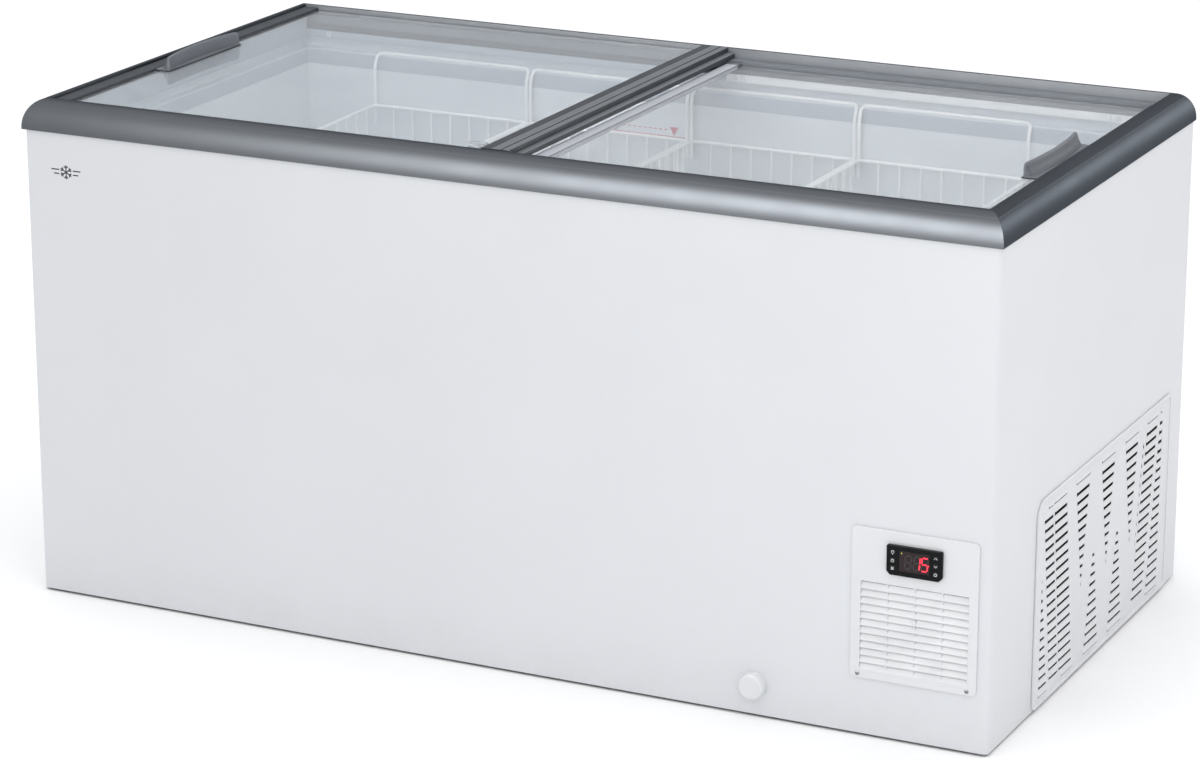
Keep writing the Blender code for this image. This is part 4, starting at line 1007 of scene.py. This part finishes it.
def cross_screw(name, centre, direction, radius, look_of, replaces=()):
    """A domed screw head with a cross recess."""
    tall = radius * 0.42
    profile = [(0.0, tall)]
    for step in range(1, 7):
        angle = math.pi / 2 * step / 6
        height = tall * math.cos(angle) * 0.85 + tall * 0.15 * (step < 6)
        profile.append((radius * math.sin(angle), height))
    profile += [(radius, 0.0), (0.0, 0.0)]
    head = turned(profile, (0, 0, 0), (0, 0, 1), 32)
    slot_half, slot_wide = radius * 0.62, radius * 0.13
    for x, y in ((slot_half, slot_wide), (slot_wide, slot_half)):
        head = cut(head, boxes([((-x, -y, tall * 0.45), (x, y, tall * 2))]))
    head.transform(aimed(centre, direction) @ Matrix.Rotation(SCREW_TURN, 4, "Z"))
    piece(name, head, look_of, replaces, smooth=30)


FRONT_SCREW, SIDE_SCREW, REAR_SCREW = 0.0034, 0.0029, 0.0036


def make_front_screws():
    for number in (1, 2):
        replaced = f"vent_screw_{number}"
        low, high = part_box(replaced)
        middle = (low + high) / 2
        spot = (middle.x, high.y, middle.z)
        cross_screw(f"front_screw_{number}", spot, (0, -1, 0), FRONT_SCREW, SCREW, [replaced])


# The lit bars, numbered: top, upper right, lower right, bottom, lower left, upper left, middle
DIGITS = {"blank": (), "1": (1, 2), "5": (0, 5, 6, 2, 3)}
DISPLAY = ((-0.0100, "blank"), (0.0042, "1"), (0.0172, "5"))
DIGIT_WIDE = 0.0100
DIGIT_TALL = 0.0215
DIGIT_BAR = 0.0022
DIGIT_SLANT = 0.09


def digit_bars(centre_x, centre_z):
    """The outlines of a digit's seven bars, in x and z."""
    x, z, half = DIGIT_WIDE / 2, DIGIT_TALL / 2, DIGIT_BAR / 2
    ends = [((-x, z), (x, z)), ((x, z), (x, 0)), ((x, 0), (x, -z)), ((-x, -z), (x, -z)),
            ((-x, 0), (-x, -z)), ((-x, z), (-x, 0)), ((-x, 0), (x, 0))]
    made = []
    for start, end in ends:
        start, end = Vector(start), Vector(end)
        way = (end - start).normalized()
        start, end = start + way * 0.0006, end - way * 0.0006
        side = Vector((-way.y, way.x)) * half
        tip = way * half
        corners = [start, start + tip + side, end - tip + side, end, end - tip - side,
                   start + tip - side]
        made.append([(centre_x + c.x + DIGIT_SLANT * c.y, centre_z + c.y) for c in corners])
    return made


def make_controller():
    low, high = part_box("controller_housing")
    face = low.y
    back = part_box("front_vent_panel")[0].y - 0.0002
    window_low, window_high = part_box("controller_window")
    cut_corner, soft = 0.006, 0.0028
    bezel = [
        (low.x + cut_corner, low.z), (high.x - cut_corner, low.z), (high.x, low.z + cut_corner),
        *rounded((low.x, low.z), (high.x, high.z), (0.003, 0.003, soft, soft))[14:],
        (low.x, low.z + cut_corner),
    ]
    frame_mesh = bevelled(bar(bezel, "Y", face, back), 0.0010, 3)
    recesses = [((window_low.x - 0.0003, face - 0.01, window_low.z - 0.0003),
                 (window_high.x + 0.0003, face + 0.0013, window_high.z + 0.0003))]
    for name in ICONS:
        key_low, key_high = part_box(name)
        recesses.append(((key_low.x - 0.0003, face - 0.01, key_low.z - 0.0003),
                         (key_high.x + 0.0003, face + 0.0030, key_high.z + 0.0003)))
    frame_mesh = cut(frame_mesh, boxes(recesses))
    body = boxes([((low.x + 0.0046, back + 0.0002, low.z + 0.0041),
                   (high.x - 0.0046, high.y, high.z - 0.0041))])
    mesh = joined([(0, frame_mesh), (0, bevelled(body, 0.0008))])
    piece("controller_case", mesh, BEZEL, ["controller_housing"], smooth=30)

    pane = bevelled(boxes([(window_low, window_high)]), 0.0003)
    piece("display_pane", pane, WINDOW, ["controller_window"])
    centre_x, centre_z = (window_low.x + window_high.x) / 2, (window_low.z + window_high.z) / 2
    front = window_low.y
    lit, unlit = [], []
    for offset, digit in DISPLAY:
        for index, outline in enumerate(digit_bars(centre_x + offset, centre_z)):
            mesh = bar(outline, "Y", front - 0.00012, front + 0.0002)
            (lit if index in DIGITS[digit] else unlit).append((0, mesh))
    dot = circle((window_high.x - 0.0014, centre_z - 0.0010), 0.0011, 20)
    lit.append((0, bar(dot, "Y", front - 0.00012, front + 0.0002)))
    piece("display_digits_lit", joined(lit), SEGMENT_ON)
    piece("display_digits_unlit", joined(unlit), SEGMENT_OFF)
    lamp = turned([(0.0, 0.0004), (0.0005, 0.00035), (0.0008, 0.0), (0.0, 0.0)],
                  (window_low.x + 0.0040, front, window_high.z - 0.0032), (0, -1, 0), 24)
    piece("display_lamp", lamp, LED)
    for name, icon in ICONS.items():
        make_key(name, icon)


# Each key's icon as (points, closed) lines, in small units about the key's middle
ICONS = {
    "key_left_top": [(arc_points((0, 0.5), 1.3, -50, 230), False),
                     ([(-0.6, -1.3), (0.6, -1.3)], False), ([(-0.4, -1.9), (0.4, -1.9)], False)],
    "key_left_middle": [([(-1.4, -1.6), (1.4, -1.6), (1.4, 0.2), (-1.4, 0.2)], True),
                        (arc_points((0, 0.2), 1.0, 0, 180), False)],
    "key_left_bottom": [([(-1.4, z), (1.4, z)], False) for z in (-1.1, 0.0, 1.1)],
    "key_right_top": [([(-1.6, -0.8), (0, 1.0), (1.6, -0.8)], False)],
    "key_right_middle": [([(-1.6, 0.8), (0, -1.0), (1.6, 0.8)], False)],
    "key_right_bottom": [(arc_points((0, -0.1), 1.5, 125, 415, 20), False),
                         ([(0, 0.3), (0, 1.9)], False)],
}


def make_key(name, icon):
    """A key cap with its raised icon."""
    low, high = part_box(name)
    cap = bevelled(boxes([(low, high)]), 0.0007, 3)
    centre_x, centre_z = (low.x + high.x) / 2, (low.z + high.z) / 2
    scale, stroke = 0.00155, 0.00046
    y = low.y + 0.0001
    routes = [([(centre_x + x * scale, y, centre_z + z * scale) for x, z in points], closed)
              for points, closed in icon]
    mesh = joined([(0, cap), (1, wires(routes, stroke, 2))])
    piece(f"{name}_cap", mesh, [KEY, PRINT], [name], body=name, smooth=40)


# ---------------------------------------------------------------- side vent

SIDE_ROWS = 20
SIDE_PITCH = 0.0164
SIDE_BORDER = 0.006
WIDE_AT_TOP = (0.272, 0.460, 0.640)
WIDE_AT_FOOT = (0.420, 0.600)
SIDE_HOOD = 0.0019
HOOD_FACES = ((0, 1, 5, 4), (1, 2, 6, 5), (3, 0, 4, 7), (4, 5, 6, 7), (2, 3, 7, 6), (3, 2, 1, 0))


def side_slots():
    """The slots, row by row, as their start and end along y, their upper edge and their height.

    A slot's edges are shares of the panel's width. The outer columns lean towards the middle on
    their way down, and the inner ones taper to a point from above and from below in turn.
    """
    low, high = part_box("side_vent_panel")
    width = high.y - low.y
    first_z = high.z - 0.0205
    slots = []

    def add(row, start, end):
        if end - start < 0.004:
            return
        last = row in (0, SIDE_ROWS - 1)
        height = 0.0036 if last else 0.0078 - 0.0018 * row / SIDE_ROWS
        top = first_z - row * SIDE_PITCH
        slots.append((low.y + start * width, low.y + end * width, top, height))

    for row in range(SIDE_ROWS):
        t = row / (SIDE_ROWS - 1)
        lean = 0.075 * t
        if row < SIDE_ROWS - 1:
            add(row, 0.045 + (0.03 if row == 0 else 0.0) + lean, 0.107 + lean)
            add(row, 0.115 + lean, 0.205 + lean)
            add(row, 0.812 - lean * 1.1, 0.897 - lean * 1.1)
        else:
            add(row, 0.205, 0.285)
        if row >= 7:
            add(row, 0.042, 0.042 + 0.058 * (row - 6) / (SIDE_ROWS - 7))
        add(row, max(0.917 - lean * 0.95, 0.905 - 0.085 * t), 0.935)
        if row >= 2:
            add(row, 0.790 - lean, 0.799 - lean * 1.1)
        for start in WIDE_AT_TOP:
            taper = 0.5 * min(1.0, row / 11.5)
            wide = 0.104
            add(row, start + wide * taper + 0.012 * t, start + wide * (1 - taper) + 0.012 * t)
        for middle in WIDE_AT_FOOT:
            if row >= 9:
                half = 0.008 + 0.045 * (row - 9) / (SIDE_ROWS - 10)
                add(row, middle - half, middle + half)
    return slots


def make_side_vent():
    """Side panel: slots with raised hoods over them, a raised border and its screw."""
    low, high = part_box("side_vent_panel")
    back, crown = low.x, high.x
    face = crown - SIDE_HOOD
    radii = (0.010, 0.010, 0.014, 0.030)
    slots = side_slots()
    holes = [rectangle((start, top - height), (end, top)) for start, end, top, height in slots]

    def inset_outline(inset):
        inset_radii = [max(0.004, radius - inset) for radius in radii]
        return rounded((low.y + inset, low.z + inset), (high.y - inset, high.z - inset),
                       inset_radii, 8)

    sheet = inset_outline(0.002)
    panel = plate([sheet, *holes], "X", face - 0.0008, face)
    hoods = []
    for start, end, top, height in slots:
        shape = bmesh.new()
        rise = min(0.0075, SIDE_PITCH - height - 0.002)
        spread = 0.0035
        corners = [
            (face - 0.0005, start - spread, top + rise), (face - 0.0005, end + spread, top + rise),
            (face - 0.0005, end + spread, top), (face - 0.0005, start - spread, top),
            (crown, start, top + 0.0012), (crown, end, top + 0.0012),
            (crown, end, top), (crown, start, top),
        ]
        spots = [shape.verts.new(corner) for corner in corners]
        for corner_numbers in HOOD_FACES:
            shape.faces.new([spots[number] for number in corner_numbers])
        hoods.append((0, mesh_of(shape)))
    rim = [inset_outline(0.0), inset_outline(SIDE_BORDER)]
    border = bevelled(plate(rim, "X", back, crown), 0.0008, 3)
    # The white panel's back faces are painted black: painted shade inside the slots
    paint(panel, 1, lambda spot, way: way.x < -0.5)
    mesh = joined([(None, panel), (0, border), *hoods])
    looks, replaced = [PLASTIC, BLACK], ["side_vent_panel"]
    piece("side_louvre_panel", mesh, looks, replaced, smooth=32)
    spot = (face, high.y - 0.060, low.z + 0.018)
    cross_screw("side_panel_screw", spot, (1, 0, 0), SIDE_SCREW, STEEL_SCREW)
    # A black sheet behind the slots: painted shade for the dark cavity behind the vent
    mat = boxes([((back - 0.012, low.y + 0.010, low.z + 0.018),
                  (back - 0.010, high.y - 0.010, high.z - 0.008))])
    piece("side_vent_shade_sheet", bevelled(mat, 0.0005), BLACK)


# ---------------------------------------------------------------- small front pieces

def make_drain_cap():
    low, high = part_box("drain_cap")
    centre = (low + high) / 2
    radius = (high.x - low.x) / 2
    seat = -wrap_low.y
    tall = -low.y - seat - 0.0003
    stem = high.y + seat
    profile = [(0.0, tall - 0.0006), (radius * 0.62, tall - 0.0002), (radius * 0.72, tall)]
    edge = 0.0042
    for step in range(1, 8):
        angle = math.pi / 2 * step / 7
        profile.append((radius - edge + edge * math.sin(angle), tall - edge + edge * math.cos(angle)))
    plug, soft = 0.0068, 0.001
    profile += [(radius, 0.0), (plug, 0.0), (plug, -stem + soft), (plug - soft, -stem), (0.0, -stem)]
    cap = turned(profile, (centre.x, -seat - 0.0003, centre.z), (0, -1, 0), 72)
    relief = []
    for turn in (0, 180):
        points = arc_points((centre.x, centre.z), 0.0095, 200 + turn, 260 + turn, 10)
        relief.append(([(x, low.y + 0.0007, z) for x, z in points], False))
    mesh = joined([(0, cap), (0, wires(relief, 0.0006, 3))])
    piece("drain_cap_disc", mesh, PLASTIC, ["drain_cap"], body="drain_cap", smooth=40)


def make_emblem():
    """A printed emblem in the upper left of the front: a snow crystal between two bars."""
    centre_x, centre_z, radius = -0.787, 0.749, 0.0120
    y = wrap_low.y
    routes = []
    for arm in range(6):
        angle = math.pi / 2 + arm * math.pi / 3
        way = Vector((math.cos(angle), math.sin(angle)))
        across = Vector((-way.y, way.x))
        routes.append(([(0, 0), tuple(way * radius)], False))
        fork = way * radius * 0.55
        for side in (-1, 1):
            tip = fork + (way + across * side) * radius * 0.30
            routes.append(([tuple(fork), tuple(tip)], False))
    for side in (-1, 1):
        for end, z in ((0.0285, 0.0035), (0.0240, -0.0035)):
            routes.append(([(side * 0.0135, z), (side * end, z)], False))
    placed = [([(centre_x + x, y - 0.0001, centre_z + z) for x, z in points], closed)
              for points, closed in routes]
    mesh = wires(placed, 0.0011, 2)
    flat = Matrix.Diagonal((1, 0.22, 1, 1))
    mesh.transform(Matrix.Translation((0, y, 0)) @ flat @ Matrix.Translation((0, -y, 0)))
    piece("front_emblem", mesh, INK)


def make_load_mark():
    """The red load line on the tank's rear wall, with a triangle pointing down at each end."""
    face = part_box("liner_rear")[0].y
    left, right, height, thick = -0.200, -0.035, 0.7010, 0.0030
    parts = [(0, boxes([((left, face - 0.0003, height), (right, face + 0.0002, height + thick))]))]
    for x in (left + 0.030, right - 0.022):
        size = 0.0085
        crown, tip = height + thick + 0.0165, height + thick + 0.0010
        outer = [(x - size, crown), (x, tip), (x + size, crown)]
        parts.append((0, bar(outer, "Y", face - 0.0003, face + 0.0002)))
    dashes = 9
    start, end = left + 0.046, right - 0.038
    for number in range(dashes):
        x = start + (end - start) * number / (dashes - 1)
        parts.append((0, boxes([((x - 0.0030, face - 0.0003, height + 0.0130),
                                 (x + 0.0022, face + 0.0002, height + 0.0150))])))
    piece("load_line_mark", joined(parts), LIMIT_RED)


def make_rear_details():
    """Screws down the edges of the rear sheet, along its top, and beside the rear cover's left edge.
    """
    cover_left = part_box("rear_cover")[0].x
    panel_low, panel_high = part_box("rear_panel")
    edge = 0.012
    spots = [(x, z) for x in (panel_low.x + edge, panel_high.x - edge) for z in (0.36, 0.58, 0.80)]
    spots += [(x, 0.806) for x in (-0.45, 0.0, 0.45)]
    spots += [(cover_left - edge, z) for z in (0.06, 0.33)]
    for number, (x, z) in enumerate(spots, 1):
        spot = (x, panel_high.y, z)
        cross_screw(f"rear_screw_{number}", spot, (0, 1, 0), REAR_SCREW, STEEL_SCREW)


# ---------------------------------------------------------------- carried-over CAD nodes

CARRIED = {
    "rear_panel": REAR, "rear_cover": REAR, "base_plate": GALVANISED, "skid_left": SILL,
    "skid_right": SILL, "cord_gland": BLACK, "foam_insulation": FOAM, "evaporator_coil": COPPER,
    "drain_spout": PLASTIC, "liner_front": LINER, "liner_rear": LINER, "liner_left": LINER,
    "liner_right": LINER, "liner_floor": LINER, "liner_step": LINER, "compressor": BLACK_METAL,
    "condenser": FINS, "fan_shroud": BLACK_METAL, "fan_motor": BLACK_METAL, "fan_blade": BLACK,
    "filter_drier": COPPER, "discharge_pipe": COPPER, "suction_pipe": COPPER,
}


def dress_cad_nodes():
    for name, finish_of in CARRIED.items():
        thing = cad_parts[name]
        for held in thing.material_slots:
            held.material = finish_of


make_wrap()
make_rims()
make_tracks()
make_collars()
make_band_plugs()
make_left_lid()
make_right_lid()
for basket_number in range(1, 5):
    make_basket(basket_number)
make_front_vent()
make_front_screws()
make_controller()
make_side_vent()
make_drain_cap()
make_emblem()
make_load_mark()
make_rear_details()
dress_cad_nodes()


# ---------------------------------------------------------------- studio

FLOOR = finish("studio_floor", (0.93, 0.93, 0.93), 0.9, variation=0.004, blotch=0.5, spread=0.02,
               grain=50.0, relief=0.0)
FLOOR_HALF = 30.0
FLOOR_GAP = 0.0005


def make_floor():
    shape = bmesh.new()
    bmesh.ops.create_grid(shape, x_segments=1, y_segments=1, size=FLOOR_HALF)
    floor = bpy.data.objects.new("studio_floor", mesh_of(shape))
    scene.collection.objects.link(floor)
    floor.data.materials.append(FLOOR)
    floor.location.z = -FLOOR_GAP


HORIZON_FRONT = (0.395, 0.405, 0.42, 1.0)
HORIZON_BEHIND = (0.34, 0.36, 0.39, 1.0)
CEILING = (1.46, 1.46, 1.47, 1.0)


def make_world():
    """A soft surround: a bright ceiling over a greyer horizon, darkest behind the object."""
    world = bpy.data.worlds.new("studio")
    scene.world = world
    world.use_nodes = True
    tree = world.node_tree
    way = node(tree, "ShaderNodeTexCoord").outputs["Generated"]
    parts = node(tree, "ShaderNodeSeparateXYZ", Vector=way).outputs
    behind = ranged(tree, parts["Y"], 0.0, 1.0, -0.3, 0.8)
    horizon = mixed(tree, behind, HORIZON_FRONT, HORIZON_BEHIND)
    upward = node(tree, "ShaderNodeMapRange", {"interpolation_type": "SMOOTHSTEP"}, Value=parts["Z"])
    upward.inputs["From Min"].default_value = 0.15
    upward.inputs["From Max"].default_value = 0.85
    colour = mixed(tree, upward.outputs["Result"], horizon, CEILING)
    background = tree.nodes["Background"]
    tree.links.new(colour, background.inputs["Color"])
    background.inputs["Strength"].default_value = 1.0


# Each lamp: place, target, width and height in metres, watts, and whether it lights matt surfaces
LAMPS = {
    "key_lamp": ((-0.25, -2.8, 1.65), (0.2, -0.46, 0.85), (2.2, 1.7), 140.0, False),
    "rim_card": ((2.28, 2.47, 1.42), (0.87, 0.0, 0.85), (1.0, 0.9), 24.0, False),
    "side_lamp": ((2.1, -2.5, 1.5), (0.8, -0.4, 0.6), (1.4, 1.4), 13.0, True),
}


def make_lamps():
    for name, (where, target, size, power, lights_matt) in LAMPS.items():
        lamp = bpy.data.lights.new(name, "AREA")
        lamp.shape = "RECTANGLE"
        lamp.size, lamp.size_y = size
        lamp.energy = power
        held = bpy.data.objects.new(name, lamp)
        held.location = where
        held.rotation_euler = (Vector(where) - Vector(target)).to_track_quat("Z", "Y").to_euler()
        held.visible_camera = False
        held.visible_diffuse = lights_matt
        scene.collection.objects.link(held)


def make_camera():
    yaw, pitch = math.radians(CAMERA_YAW), math.radians(CAMERA_PITCH)
    level = math.cos(pitch)
    ahead = Vector((-math.sin(yaw) * level, math.cos(yaw) * level, -math.sin(pitch)))
    right = Vector((math.cos(yaw), math.sin(yaw), 0.0))
    up = right.cross(ahead)
    place = Vector(CAMERA_TARGET) - ahead * CAMERA_DISTANCE
    place += right * CAMERA_SLIDE[0] + up * CAMERA_SLIDE[1]
    camera = bpy.data.cameras.new("camera")
    camera.lens = LENS
    camera.sensor_width = 36.0
    camera.clip_start, camera.clip_end = 0.1, 100.0
    held = bpy.data.objects.new("camera", camera)
    held.matrix_world = Matrix.Translation(place) @ ahead.to_track_quat("-Z", "Y").to_matrix().to_4x4()
    scene.collection.objects.link(held)
    scene.camera = held


make_floor()
make_world()
make_lamps()
make_camera()
scene.view_settings.view_transform = "Standard"
